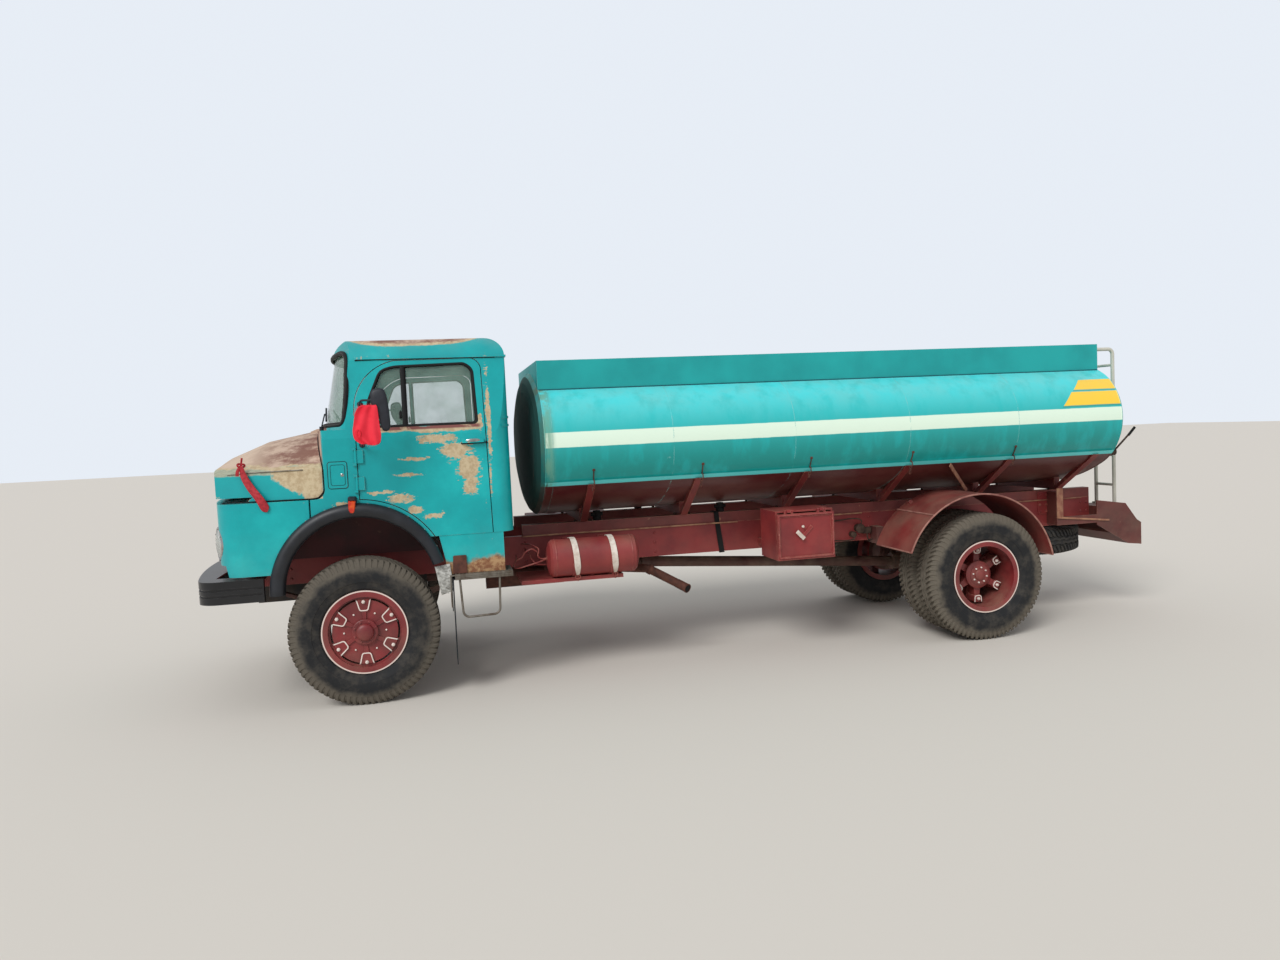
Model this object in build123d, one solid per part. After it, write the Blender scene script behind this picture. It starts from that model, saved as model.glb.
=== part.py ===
from build123d import *
from math import cos, radians, sin, sqrt
import os

os.makedirs("parts", exist_ok=True)

# A short-bonnet truck that carries an oval liquid tank. Sizes are in millimetres.
# While it is drawn, X runs rearwards from the front axle, Y to the truck's right and Z up.

# Driving sizes of the wheels and axles
wheelbase = 4830
tyre_radius = 515
tyre_width = 255
tread_width = 190
seat_radius = 256
rim_radius = 292
rim_width = 210
rim_wall = 8
front_wheel_y = 990
rear_wheel_y = 1005
twin_spacing = 295
kingpin_y = 880
steering_arm = 170
running_gap = 0.3
moving_gap = 6

# Driving sizes of the frame
rail_half = 430
rail_bottom = 790
rail_top = 1030
rail_flange = 65
rail_wall = 8
rail_front = -960
rail_rear = wheelbase + 1500
bearer_top = 1115
bearer_width = 80
bearer_front = 1180

# Driving sizes of the cab
cab_half = 1090
cab_rear = 1070
cab_bottom = 1150
belt_height = 1925
wall = 40
scuttle_middle = -318
scuttle_corner = -203
arch_x = -10
arch_z = 825
arch_radius = 590
arch_depth = 520
door_gap = 6
door_front = 20
glass_wall = 6
glass_inset = 14

# Driving sizes of the bonnet and front end
nose_middle = -1045
nose_corner = -885
nose_half = 1100
nose_bottom = 960
wing_top = 1460
seam_gap = 8
bonnet_half = 1065
sheet_wall = 22
bumper_nose = -1170
bumper_half = 1130
bumper_bottom = 790
bumper_height = 155

# Driving sizes of the tank
tank_front = 1322
tank_rear = wheelbase + 1346
tank_half = 1045
tank_centre = 1750
tank_rise = 580
tank_side_radius = 430
coaming_half = 757
coaming_top = 2382
coaming_wall = 10
head_bulge = 62
head_inset = 150
manhole_radius = 230

# Driving sizes behind the tank
tray_rear = rail_rear + 405
tray_half = 600
guard_x = wheelbase - 85
guard_z = 540
guard_radius = 650
guard_wall = 8
guard_outer = 1180
guard_inner = 600
guard_front_low = 770
guard_rear_low = 662

overall_middle = (bumper_nose + tray_rear) / 2


def save(node, shape):
    """Writes one sub-part with the overall middle of the truck at X = 0."""
    placed = Pos(-overall_middle, 0, 0) * shape
    export_step(placed, "parts/" + node + ".step")


def group(solids):
    """Several solids of one node that don't touch."""
    return Compound(children=list(solids))


def other_side(shape):
    return mirror(shape, about=Plane.XZ)


def both_sides(shape):
    return group([*shape.solids(), *other_side(shape).solids()])


def on_side(side, near, far):
    """The low and high y of a span on the left (-1) or the right (1)."""
    return tuple(sorted((side * near, side * far)))


def box(x, y, z):
    """A block from its low and high ends along each axis."""
    size = (x[1] - x[0], y[1] - y[0], z[1] - z[0])
    return Pos((x[0] + x[1]) / 2, (y[0] + y[1]) / 2, (z[0] + z[1]) / 2) * Box(*size)


def outline(*points):
    return make_face(Polyline(*points, close=True))


def side_view(face, y_low, y_high):
    """An outline of (x, z) points carried across the truck from y_low to y_high."""
    return extrude(Plane.XZ.offset(-y_high) * face, y_high - y_low, dir=(0, -1, 0))


def front_view(face, x_low, x_high):
    """An outline of (y, z) points carried along the truck from x_low to x_high."""
    return extrude(Plane.YZ.offset(x_low) * face, x_high - x_low, dir=(1, 0, 0))


def plan_view(face, z_low, z_high):
    return extrude(Plane.XY.offset(z_low) * face, z_high - z_low, dir=(0, 0, 1))


def rod(start, end, radius):
    """A round bar between two points."""
    a, b = Vector(*start), Vector(*end)
    length = (b - a).length
    return Plane(origin=a, z_dir=b - a) * Pos(0, 0, length / 2) * Cylinder(radius, length)


def pipe(points, radius, bend):
    """A round tube along straight runs with an arc at each corner."""
    path = FilletPolyline(*points, radius=bend)
    start = path.position_at(0)
    return sweep(Plane(origin=start, z_dir=path.tangent_at(0)) * Circle(radius), path)


def upright(x, y, z_low, z_high, radius):
    return rod((x, y, z_low), (x, y, z_high), radius)


def bowed_face(middle, corner, half, rear, front_round, rear_round):
    """A plan outline with an arched front, rounded at its four corners."""
    front = ThreePointArc((corner, half), (middle, 0), (corner, -half))
    back = Polyline((corner, -half), (rear, -half), (rear, half), (corner, half))
    face = make_face([front, *back.edges()])
    face = fillet(face.vertices().sort_by(Axis.X)[:2], front_round)
    return fillet(face.vertices().sort_by(Axis.X)[-2:], rear_round)


cab_mount_places = (-150, 900)
shaft_bearing_x = 2250
hanger_height = rail_bottom + rail_wall + 60


# Frame: two channel rails, cross members between them and the tank's bearers on top
def frame_rails():
    lip, inner = rail_half - rail_flange, rail_half - rail_wall
    low, high = rail_bottom + rail_wall, rail_top - rail_wall
    web = outline((rail_half, rail_bottom), (rail_half, rail_top), (lip, rail_top), (lip, high),
                  (inner, high), (inner, low), (lip, low), (lip, rail_bottom))
    rail = front_view(web, rail_front, rail_rear)
    frame = rail + other_side(rail)
    # columns: x of the cross member, its height above the rails' lower flange, its depth
    for x, lift, depth in (
            (rail_front + 60, 0, 60), (620, 0, 120), (shaft_bearing_x, 60, 110), (3650, 60, 110),
            (wheelbase + 590, 60, 110), (rail_rear - 60, 60, 110)):
        frame += box((x - 40, x + 40), (-inner, inner), (low + lift, low + lift + depth))
    for x in cab_mount_places:
        mount = box((x - 45, x + 45), (rail_half - 70, rail_half), (rail_top, cab_bottom))
        frame += mount + other_side(mount)
    return frame


def tank_oval(grow=0):
    """The tank's section from four arcs that meet smoothly."""
    side = tank_side_radius + grow
    half, rise = tank_half + grow, tank_rise + grow
    offset = half - side
    big = (offset ** 2 + rise ** 2 - side ** 2) / (2 * (rise - side))
    drop = big - rise
    share = big / (big - side)
    joint_y, joint_z = offset * share, drop * share - drop
    high, low = tank_centre + joint_z, tank_centre - joint_z
    arcs = [ThreePointArc((-joint_y, high), (0, tank_centre + rise), (joint_y, high)),
            ThreePointArc((joint_y, high), (half, tank_centre), (joint_y, low)),
            ThreePointArc((joint_y, low), (0, tank_centre - rise), (-joint_y, low)),
            ThreePointArc((-joint_y, low), (-half, tank_centre), (-joint_y, high))]
    return make_face([edge for arc in arcs for edge in arc.edges()])


def tank_head(x, outward):
    """The shallow dished end, in three steps that lean in more and more."""
    # columns: how far out the ring stands, how far in from the rim, as shares of the dish
    rings = ((0, 0), (0.45, 0.18), (0.8, 0.5), (1, 1))
    faces = [Plane.YZ.offset(x + outward * head_bulge * out) * tank_oval(-head_inset * inward)
             for out, inward in rings]
    head = None
    for near, far in zip(faces, faces[1:]):
        ring = loft([near, far], ruled=True)
        head = ring if head is None else head + ring
    return head


def tank_solid(grow=0):
    return front_view(tank_oval(grow), tank_front, tank_rear)


cradle_places = (tank_front + 348, tank_front + 1178, tank_front + 2068,
                 wheelbase - 570, wheelbase + 355, wheelbase + 1170)
cradle_width = 55
rail_belt_z = 1440
saddle_top = 1260


def tank_bearers():
    """Two box bearers on the rails, with a saddle and two slanted legs at each cradle place."""
    bearer = box((bearer_front, rail_rear), (rail_half - bearer_width, rail_half), (rail_top, bearer_top))
    frame = bearer + other_side(bearer)
    leg = outline((-950, rail_belt_z), (-rail_half - 20, bearer_top), (-rail_half + 45, bearer_top),
                  (-880, rail_belt_z))
    saddle = outline((-rail_half, bearer_top), (rail_half, bearer_top),
                     (rail_half, saddle_top), (-rail_half, saddle_top))
    tank = tank_solid()
    for x in cradle_places:
        near = front_view(leg, x - cradle_width / 2, x + cradle_width / 2)
        seat = front_view(saddle, x - cradle_width / 2, x + cradle_width / 2)
        frame += (near + other_side(near) + seat) - tank
    return frame


def tank_shell():
    """The oval tank, the folded strip along each side at the belly plates, and the manhole's neck."""
    strip = box((tank_front + 20, tank_rear - 20), (-tank_half, -tank_half + 200),
                (rail_belt_z, rail_belt_z + 28))
    strip = strip & tank_solid(14)
    ends = tank_head(tank_front, -1) + tank_head(tank_rear, 1)
    return tank_solid() + ends + strip + other_side(strip) + manhole_neck()


def coaming():
    inner = coaming_half - coaming_wall
    walls = box((tank_front, tank_rear), (-coaming_half, coaming_half), (tank_centre, coaming_top))
    walls -= box((tank_front + coaming_wall, tank_rear - coaming_wall), (-inner, inner),
                 (tank_centre - 1, coaming_top + 1))
    return walls - tank_solid()


manhole_x = tank_front + 1678
neck_top = coaming_top - 22
lid_low = neck_top + 0.5
lid_thickness = 16
lid_hinge_x = manhole_x + manhole_radius + 45


def manhole_neck():
    neck = upright(manhole_x, 0, tank_centre, neck_top, manhole_radius)
    neck -= upright(manhole_x, 0, tank_centre - 1, neck_top + 1, manhole_radius - 10)
    lug = box((lid_hinge_x - 22, lid_hinge_x + 14), (-60, -36), (tank_centre, neck_top + 22))
    web = box((manhole_x + manhole_radius - 8, lid_hinge_x), (-60, -36), (neck_top - 60, neck_top - 6))
    lugs = lug + other_side(lug) + web + other_side(web)
    pin_z = lid_low + lid_thickness / 2
    lugs -= rod((lid_hinge_x, -70, pin_z), (lid_hinge_x, 70, pin_z), 6 + running_gap)
    return neck + lugs


def manhole_lid():
    low = lid_low
    lid = upright(manhole_x, 0, low, low + lid_thickness, manhole_radius + 12)
    lid += box((manhole_x, lid_hinge_x), (-30, 30), (low, low + lid_thickness))
    lid += rod((lid_hinge_x, -62, low + lid_thickness / 2), (lid_hinge_x, 62, low + lid_thickness / 2), 6)
    lid += rod((lid_hinge_x, -30, low + lid_thickness / 2), (lid_hinge_x, 30, low + lid_thickness / 2), 12)
    handle = box((manhole_x - 160, manhole_x - 140), (-55, 55), (low + lid_thickness - 1, low + 42))
    return lid + handle


# Wheels: drawn with their outer side towards -Y and the axle through the origin
def tyre_solid():
    half, bulge, bead = tread_width / 2, tyre_width / 2, rim_width / 2 - rim_wall - 1
    flange, shoulder, edge = rim_radius + 2, tyre_radius - 26, bulge - 19
    profile = Polyline((shoulder, edge), (tyre_radius, half), (tyre_radius, -half), (shoulder, -edge))
    near = ThreePointArc((shoulder, -edge), ((flange + shoulder) / 2, -bulge), (flange, -bead))
    seat = Polyline((flange, -bead), (seat_radius, -bead), (seat_radius, bead), (flange, bead))
    far = ThreePointArc((flange, bead), ((flange + shoulder) / 2, bulge), (shoulder, edge))
    face = make_face([*profile.edges(), *near.edges(), *seat.edges(), *far.edges()])
    return revolve(face, Axis.Y)


def rim_ring():
    """One rim: a seat band with a flange at each edge."""
    edge, barrel = rim_width / 2, seat_radius - rim_wall
    seat = edge - rim_wall
    face = outline((barrel, -edge), (rim_radius, -edge), (rim_radius, -seat), (seat_radius, -seat),
                   (seat_radius, seat), (rim_radius, seat), (rim_radius, edge), (barrel, edge))
    return revolve(face, Axis.Y)


def turned(radius, y_low, y_high):
    """A disc or bar about the wheel's axle."""
    return rod((0, y_low, 0), (0, y_high, 0), radius)


clamp_count = 6
clamp_radius = 205
spindle_radius = 35
front_drum_face = 25
front_spider = -62
slot_inner, slot_outer, slot_half = 222, 236, 66


front_clamp = ((-27, -61), (27, -61), (45, 15), (-45, 15))
rear_clamp = ((-34, -42), (34, -42), (26, 34), (-26, 34))


def clamps(points, y_face, rise):
    """The U-shaped clamps that hold the rim to the spider, one at each spoke."""
    ring = []
    for number in range(clamp_count):
        plate = extrude(Plane.XZ.offset(-y_face) * outline(*points), rise)
        turn = 360 / clamp_count * number
        ring.append(Rot(0, turn, 0) * Pos(0, 0, clamp_radius) * plate)
    return ring


def front_rim():
    """Rim, cast spider, clamps, hub and brake drum."""
    spider = turned(seat_radius - rim_wall + 0.5, front_spider - 18, front_spider)
    wheel = rim_ring() + spider
    for clamp in clamps(front_clamp, front_spider - 17, 15):
        wheel += clamp
    wheel += turned(88, front_spider - 40, front_spider) + turned(60, front_spider - 58, front_spider)
    wheel += turned(195, front_spider - 2, front_drum_face)
    slot = turned(slot_outer, front_spider - 19, front_spider + 1)
    slot -= turned(slot_inner, front_spider - 20, front_spider + 2)
    for number in range(clamp_count):
        mouth = box((-slot_half, slot_half), (front_spider - 21, front_spider + 3), (0, 300))
        wheel -= Rot(0, 360 / clamp_count * (number + 0.5), 0) * (slot & mouth)
    return wheel - turned(spindle_radius + running_gap, front_spider - 30, front_drum_face + 1)


rear_spindle_radius = 45
rear_drum_face = twin_spacing + 110
rear_spider = 135


def rear_rim():
    """Both twin rims on one spider, with the hub and brake drum. The outer rim is at the origin."""
    ring = rim_ring()
    wheel = ring + Pos(0, twin_spacing, 0) * ring
    band = seat_radius - rim_wall
    edge = rim_width / 2
    sleeve = turned(seat_radius, edge - 1, twin_spacing - edge + 1)
    wheel += sleeve - turned(band, edge - 2, twin_spacing - edge + 2)
    for number in range(clamp_count):
        spoke = box((-36, 36), (rear_spider, rear_spider + 45), (80, band + 3))
        wheel += Rot(0, 360 / clamp_count * number, 0) * spoke
    for clamp in clamps(rear_clamp, rear_spider + 1, 16):
        wheel += clamp
    wheel += turned(105, 20, rear_drum_face) + turned(82, 0, 30)
    wheel += turned(190, rear_spider + 40, rear_drum_face)
    return wheel - turned(rear_spindle_radius + running_gap, 60, rear_drum_face + 1)


# Axles, steering and springs
fist_radius = 42
fist_half = 40
ear = 30
kingpin_radius = 18
tie_rod_drop = 75
tie_pin_radius = 10


def front_axle():
    """A dropped beam whose ends turn up into the kingpin bosses."""
    high, low, neck = tyre_radius + fist_half, tyre_radius - fist_half, kingpin_y - fist_radius - 10
    beam = outline((-kingpin_y, high), (-kingpin_y, low), (-neck, low), (-760, 440), (760, 440),
                   (neck, low), (kingpin_y, low), (kingpin_y, high), (neck, high), (740, 525),
                   (-740, 525), (-neck, high))
    axle = front_view(beam, -34, 34)
    for side in (-1, 1):
        axle += upright(0, side * kingpin_y, tyre_radius - fist_half, tyre_radius + fist_half, fist_radius)
        axle -= upright(0, side * kingpin_y, 0, tyre_radius * 2, kingpin_radius + running_gap)
        axle += box((-60, 60), (side * 395 - 42, side * 395 + 42), (525, 545))
    return axle


def knuckle():
    """The left fork about its kingpin, with the spindle, the backing plate and the steering arm."""
    low, high = tyre_radius - fist_half - moving_gap, tyre_radius + fist_half + moving_gap
    web = -kingpin_y - fist_radius - moving_gap
    plate = -front_wheel_y + front_drum_face + moving_gap + 8
    fork = box((-58, 58), (plate - 2, web), (low - ear, high + ear))
    for z in (low - ear, high):
        fork += upright(0, -kingpin_y, z, z + ear, fist_radius)
        fork += box((-fist_radius, fist_radius), (web - 1, -kingpin_y), (z, z + ear))
    fork += upright(0, -kingpin_y, low - ear, high + ear, kingpin_radius)
    fork += rod((0, plate - 8, tyre_radius), (0, plate, tyre_radius), 185)
    spindle_end = -front_wheel_y + front_spider - 25
    fork += rod((0, spindle_end, tyre_radius), (0, plate, tyre_radius), spindle_radius)
    arm_z = low - ear
    fork += box((0, steering_arm), (-kingpin_y - 22, -kingpin_y + 22), (arm_z, arm_z + 22))
    fork += upright(steering_arm, -kingpin_y, arm_z, arm_z + 22, 26)
    fork += upright(steering_arm, -kingpin_y, arm_z - tie_rod_height - 2, arm_z, tie_pin_radius)
    return fork


tie_rod_height = 34


def tie_rod():
    """The rod behind the axle that joins the two steering arms."""
    top = tyre_radius - fist_half - moving_gap - ear - 1
    low = top - tie_rod_height + 4
    middle = (top + low) / 2
    bar = rod((steering_arm, -kingpin_y, middle), (steering_arm, kingpin_y, middle), 14)
    for side in (-1, 1):
        bar += upright(steering_arm, side * kingpin_y, low, top, 24)
        bar -= upright(steering_arm, side * kingpin_y, 0, tyre_radius, tie_pin_radius + running_gap)
    return bar


diff_radius = 190
nose_reach = 260


def rear_axle():
    """The banjo housing, its tubes, the backing plates and the spindles."""
    inner = rear_wheel_y - rear_drum_face - moving_gap
    axle = Sphere(diff_radius) & box((-150, 150), (-160, 160), (-diff_radius, diff_radius))
    axle += turned(68, -inner, inner)
    axle += rod((-nose_reach, 0, 0), (0, 0, 0), 75)
    for side in (-1, 1):
        axle += rod((0, side * (inner - 8), 0), (0, side * inner, 0), 180)
        axle += rod((0, side * inner, 0), (0, side * (rear_wheel_y - 90), 0), rear_spindle_radius)
        axle += box((-70, 70), (side * 505 - 42, side * 505 + 42), (50, 90))
    return Pos(wheelbase, 0, tyre_radius) * axle


def leaf_pack(x, y, seat, length, rise, leaves, leaf, width):
    """Leaves of falling length on an arc, flat where they meet the axle."""
    pack = None
    for number in range(leaves):
        half = length / 2 * (1 - 0.13 * number)
        low = seat + leaf * (leaves - 1 - number)
        lift = rise * (half / (length / 2)) ** 2
        lower = ThreePointArc((x - half, low + lift), (x, low), (x + half, low + lift))
        upper = ThreePointArc((x + half, low + lift + leaf), (x, low + leaf), (x - half, low + lift + leaf))
        near = Line((x - half, low + lift + leaf), (x - half, low + lift))
        far = Line((x + half, low + lift), (x + half, low + lift + leaf))
        face = make_face([edge for line in (lower, upper, near, far) for edge in line.edges()])
        piece = side_view(face, y - width / 2, y + width / 2)
        pack = piece if pack is None else pack + piece
    return pack


def leaf_springs():
    packs = []
    # columns: axle x, y of the pack, seat height, length, rise, leaves, leaf thickness, width
    for x, y, seat, length, rise, leaves, leaf, width in (
            (0, 395, 545, 1400, 150, 5, 14, 70), (wheelbase, 505, 605, 1300, 90, 7, 16, 75)):
        top = seat + leaf * leaves + rise
        for side in (-1, 1):
            pack = leaf_pack(x, side * y, seat, length, rise, leaves, leaf, width)
            for end in (-1, 1):
                eye = x + end * (length / 2 - 10)
                low, high, height = y - width / 2 - 10, y + width / 2 + 10, rail_bottom
                if y > rail_half:
                    low, height = rail_half, rail_bottom + 120
                pack += box((eye - 32, eye + 32), on_side(side, low, high), (top - 40, height))
            packs.append(pack)
    return group([solid for pack in packs for solid in pack.solids()])


engine_front = -830
gearbox_rear = 420
shaft_z = 690
shaft_radius = 45


def engine():
    """The engine, gearbox and radiator as one plain block."""
    block = box((engine_front, scuttle_middle - 12), (-285, 285), (645, 1395))
    feet = box((-640, -560), (rail_wall - rail_half, rail_half - rail_wall), (880, 940))
    feet += box((280, 340), (rail_wall - rail_half, rail_half - rail_wall), (880, 940))
    radiator = box((engine_front - 60, engine_front), (-330, 330), (hanger_height, 1440))
    return block + feet + radiator + box((scuttle_middle - 13, gearbox_rear), (-170, 170), (620, 980))


def propshaft():
    """Two tubes with a centre bearing, down to the axle's nose."""
    end = (wheelbase - nose_reach, 0, tyre_radius)
    middle = (shaft_bearing_x, 0, shaft_z)
    shaft = rod((gearbox_rear - 20, 0, shaft_z + 20), middle, shaft_radius) + rod(middle, end, shaft_radius)
    shaft += rod((shaft_bearing_x - 35, 0, shaft_z), (shaft_bearing_x + 35, 0, shaft_z), 80)
    shaft += box((shaft_bearing_x - 25, shaft_bearing_x + 25), (-60, 60), (shaft_z, hanger_height))
    shaft -= box((0, gearbox_rear), (-200, 200), (0, 1000))
    return shaft - rod((wheelbase - nose_reach, 0, tyre_radius), (wheelbase, 0, tyre_radius), 90)


# Front end: wings with the lower front panel, bonnet, grille and bumper
def nose_plan(inset, rear):
    return bowed_face(nose_middle + inset, nose_corner + inset, nose_half - inset, rear, 170 - inset / 2, 4)


def arch_cylinder(radius, y_low, y_high):
    return rod((arch_x, y_low, arch_z), (arch_x, y_high, arch_z), radius)


def front_wings():
    """The two wings and the panel between them, open below and behind."""
    rear = -313
    top = wing_top - seam_gap / 2
    side = outline((-1200, top), (rear, top), (rear, nose_bottom), (-855, nose_bottom), (-875, 1040),
                   (-1200, 1041))
    panel = plan_view(nose_plan(0, rear), nose_bottom, top)
    inner = plan_view(nose_plan(sheet_wall, rear + 10), nose_bottom - 1, top - sheet_wall)
    engine_room = box((-950, rear + 10), (-620, 620), (nose_bottom - 1, wing_top + 1))
    shell = (panel & side_view(side, -nose_half, nose_half)) - inner - engine_room
    shell -= arch_cylinder(arch_radius, -nose_half - 1, nose_half + 1)
    for y in (-headlamp_y, headlamp_y):
        shell -= rod((-1200, y, headlamp_z), (-800, y, headlamp_z), headlamp_radius + 0.3)
    slots = outline((-520, 1060), (520, 1060), (520, 1400), (-520, 1400))
    shell -= front_view(slots, -1200, -960)
    for number in range(5):
        low = 1085 + 62 * number
        bar = plan_view(nose_plan(6, rear), low, low + 26)
        bar -= plan_view(nose_plan(18, rear), low - 1, low + 27)
        shell += bar & box((-1200, -900), (-540, 540), (low, low + 26))
    carrier = box((rail_front + 5, rail_front + 45), (-600, 600), (rail_top, 1060))
    for y in (-rail_half, rail_half - 50):
        carrier += box((-1100, rail_front + 45), (y, y + 50), (1042, 1060))
    return shell + (carrier & plan_view(nose_plan(2, rear), 900, 1100))


headlamp_y = 905
headlamp_z = 1183
headlamp_radius = 112


def headlamps():
    """Each lamp is a shallow bowl with a domed lens and a rim ring."""
    lamp = rod((-925, -headlamp_y, headlamp_z), (-835, -headlamp_y, headlamp_z), headlamp_radius)
    lens = Pos(-790, -headlamp_y, headlamp_z) * Sphere(168)
    mouth = rod((-960, -headlamp_y, headlamp_z), (-900, -headlamp_y, headlamp_z), headlamp_radius - 14)
    lamp += lens & mouth
    return both_sides(lamp)


bonnet_low = wing_top + seam_gap / 2
crease_height = 1668


def bonnet_section(x, half, crease, top):
    """The bonnet's section at x: upright sides, a crease and an arched top."""
    plane = Plane.YZ.offset(x)
    arch = ThreePointArc((half - 25, crease), (0, top), (25 - half, crease))
    sides = Polyline((25 - half, crease), (-half, bonnet_low), (half, bonnet_low), (half - 25, crease))
    return plane * make_face([*arch.edges(), *sides.edges()])


def bonnet_block(inset):
    sections = []
    # columns: x, half width, crease height, height of the top's middle
    for x, half, crease, top in (
            (-100, bonnet_half + 14, crease_height + 14, 1950),
            (-330, bonnet_half, crease_height, 1940),
            (-700, bonnet_half - 30, crease_height - 4, 1868),
            (-930, bonnet_half - 60, crease_height - 20, 1770),
            (-1060, bonnet_half - 80, crease_height - 60, 1660)):
        sections.append(bonnet_section(x, half - inset, crease - inset, top - inset))
    block = loft(sections, ruled=True)
    plan = bowed_face(nose_middle + 8 + inset, nose_corner + 8 + inset, nose_half + 60, 0, 200, 4)
    return block & plan_view(plan, bonnet_low - 1, 2100)


def scuttle_face(shift):
    """A plan outline whose arched front is the joint between bonnet and scuttle."""
    return bowed_face(scuttle_middle + shift, scuttle_corner + shift, cab_half, 900, 4, 4)


def bonnet_side(grow):
    """The bonnet in side view, as far back as the scuttle, with a rounded lower corner."""
    rear = scuttle_corner - seam_gap
    face = outline((-1300, bonnet_low), (rear, bonnet_low), (rear, 2200), (-1300, 2200))
    corner = face.vertices().sort_by(Axis.X)[-2:].sort_by(Axis.Y)[0]
    return offset(fillet([corner], 62), amount=grow)


def bonnet():
    shell = bonnet_block(0) - (Pos(0, 0, -1) * bonnet_block(sheet_wall))
    opening = bonnet_half - sheet_wall - 10
    shell -= box((-1200, 0), (-opening, opening), (bonnet_low - 1, bonnet_low + 30))
    shell -= plan_view(scuttle_face(-seam_gap), 1000, 2200)
    shell &= side_view(bonnet_side(0), -1300, 1300)
    shell -= front_view(grille_outline(), -1200, -850)
    return shell + bonnet_leaves()


bonnet_pin_x = -300
bonnet_pin_z = 1940
bonnet_pin_radius = 5
bonnet_hinge_y = 250


def bonnet_leaves():
    """The leaves on the bonnet that turn on the scuttle's two hinge pins."""
    low, high = bonnet_pin_z - 9, bonnet_pin_z + 9
    x, low, high = bonnet_pin_x, bonnet_pin_z - 9, bonnet_pin_z + 9
    leaf = outline((-375, 1905), (-375, 1928), (-330, 1946), (x, high), (x, low), (-326, low), (-328, 1915))
    leaves = []
    for y in (-bonnet_hinge_y - 24, -bonnet_hinge_y + 14, bonnet_hinge_y - 24, bonnet_hinge_y + 14):
        piece = side_view(leaf, y, y + 10) + rod((x, y, bonnet_pin_z), (x, y + 10, bonnet_pin_z), 9)
        bore = rod((x, y - 1, bonnet_pin_z), (x, y + 11, bonnet_pin_z), bonnet_pin_radius + running_gap)
        leaves.append(piece - bore)
    return leaves


def scuttle_hinges():
    """The lugs and pins on the scuttle that the bonnet turns on."""
    parts = []
    x, z = bonnet_pin_x, bonnet_pin_z
    for y in (-bonnet_hinge_y, bonnet_hinge_y):
        lug = box((x - 9, x + 30), (y - 13, y + 13), (belt_height - 2, z + 9))
        parts.append(lug + rod((x, y - 26, z), (x, y + 26, z), bonnet_pin_radius))
    return parts


def grille_outline(inset=0):
    half, low, high = 560 - inset, 1508 + inset, 1640 - inset
    return fillet(outline((-half, low), (half, low), (half - 40, high), (40 - half, high)).vertices(), 30)


def grille():
    """A frame with four cross bars that stands a little proud of the bonnet's nose."""
    band = plan_view(bowed_face(nose_middle - 12, nose_corner - 12, nose_half, 0, 200, 4), 1500, 1660)
    band -= plan_view(bowed_face(nose_middle + 24, nose_corner + 24, nose_half, 0, 200, 4), 1499, 1661)
    outer = front_view(grille_outline(), -1200, -850)
    mask = outer - front_view(grille_outline(18), -1201, -849)
    for number in range(4):
        low = 1533 + 26 * number
        bar = box((-1200, -850), (-545, 545), (low, low + 12))
        mask += bar & outer
    return band & mask


def arch_flares():
    """Rubber lips round the front wheel arches."""
    band = arch_cylinder(arch_radius, -1150, -nose_half - 0.5)
    band -= arch_cylinder(arch_radius - 100, -1151, -1000)
    lip = arch_cylinder(arch_radius - 0.5, -nose_half - 1, -1060)
    lip -= arch_cylinder(arch_radius - 12, -1151, -1000)
    band = (band + lip) & box((-700, 700), (-1160, -1000), (829, 1500))
    return both_sides(band - box((0, 700), (-1160, -1000), (700, 979)))


def wheelhouses():
    """The inner arches over the front wheels: a half tube and an upright inner wall."""
    tube = arch_cylinder(arch_radius, -1058, -arch_depth)
    tube -= arch_cylinder(arch_radius - 14, -1059, -arch_depth - 12)
    tube &= box((-700, 700), (-1100, -400), (990, 1500))
    return both_sides(tube)


def bumper_face(inset):
    return bowed_face(bumper_nose + inset, -1040 + inset, bumper_half - inset, -630, 150 - inset / 2, 4)


def front_bumper():
    """A bowed channel bumper with a flat top plate and grooves along its face."""
    top = bumper_bottom + bumper_height
    bumper = plan_view(bumper_face(0), bumper_bottom, top)
    bumper -= plan_view(bumper_face(34), bumper_bottom - 1, top - 10)
    bumper -= box((rail_front - 6, -600), (-960, 960), (bumper_bottom - 1, top + 1))
    for low in (838, 880):
        ring = plan_view(bumper_face(0), low, low + 16) - plan_view(bumper_face(10), low - 1, low + 17)
        bumper -= ring & box((-1200, -640), (-1200, 1200), (low, low + 16))
    horn = (box((-1150, rail_front), (-rail_half + 4, -rail_half + 60), (rail_bottom + 20, top - 10))
            & plan_view(bumper_face(34), bumper_bottom, top))
    return bumper + horn + other_side(horn)


# Cab: three outlines carried through each other and hollowed, then cut into body, roof and doors
screen_lean = 0.2
screen_middle = -300
screen_corner = -62
roof_top = 2590
gutter_height = 2400
gutter_half = 1012


def cab_front_outline():
    """The cab from the front: upright to the belt, leaning in to the gutter, arched roof."""
    edges = []
    for side in (-1, 1):
        half, gutter, waist = side * cab_half, side * gutter_half, belt_height - 60
        edges += [Line((half, cab_bottom), (half, waist)), Line((half, waist), (gutter, gutter_height)),
                  ThreePointArc((gutter, gutter_height), (side * 955, 2500), (side * 830, 2552))]
    edges.append(ThreePointArc((-830, 2552), (0, roof_top), (830, 2552)))
    edges.append(Line((-cab_half, cab_bottom), (cab_half, cab_bottom)))
    return make_face([edge for line in edges for edge in line.edges()])


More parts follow.
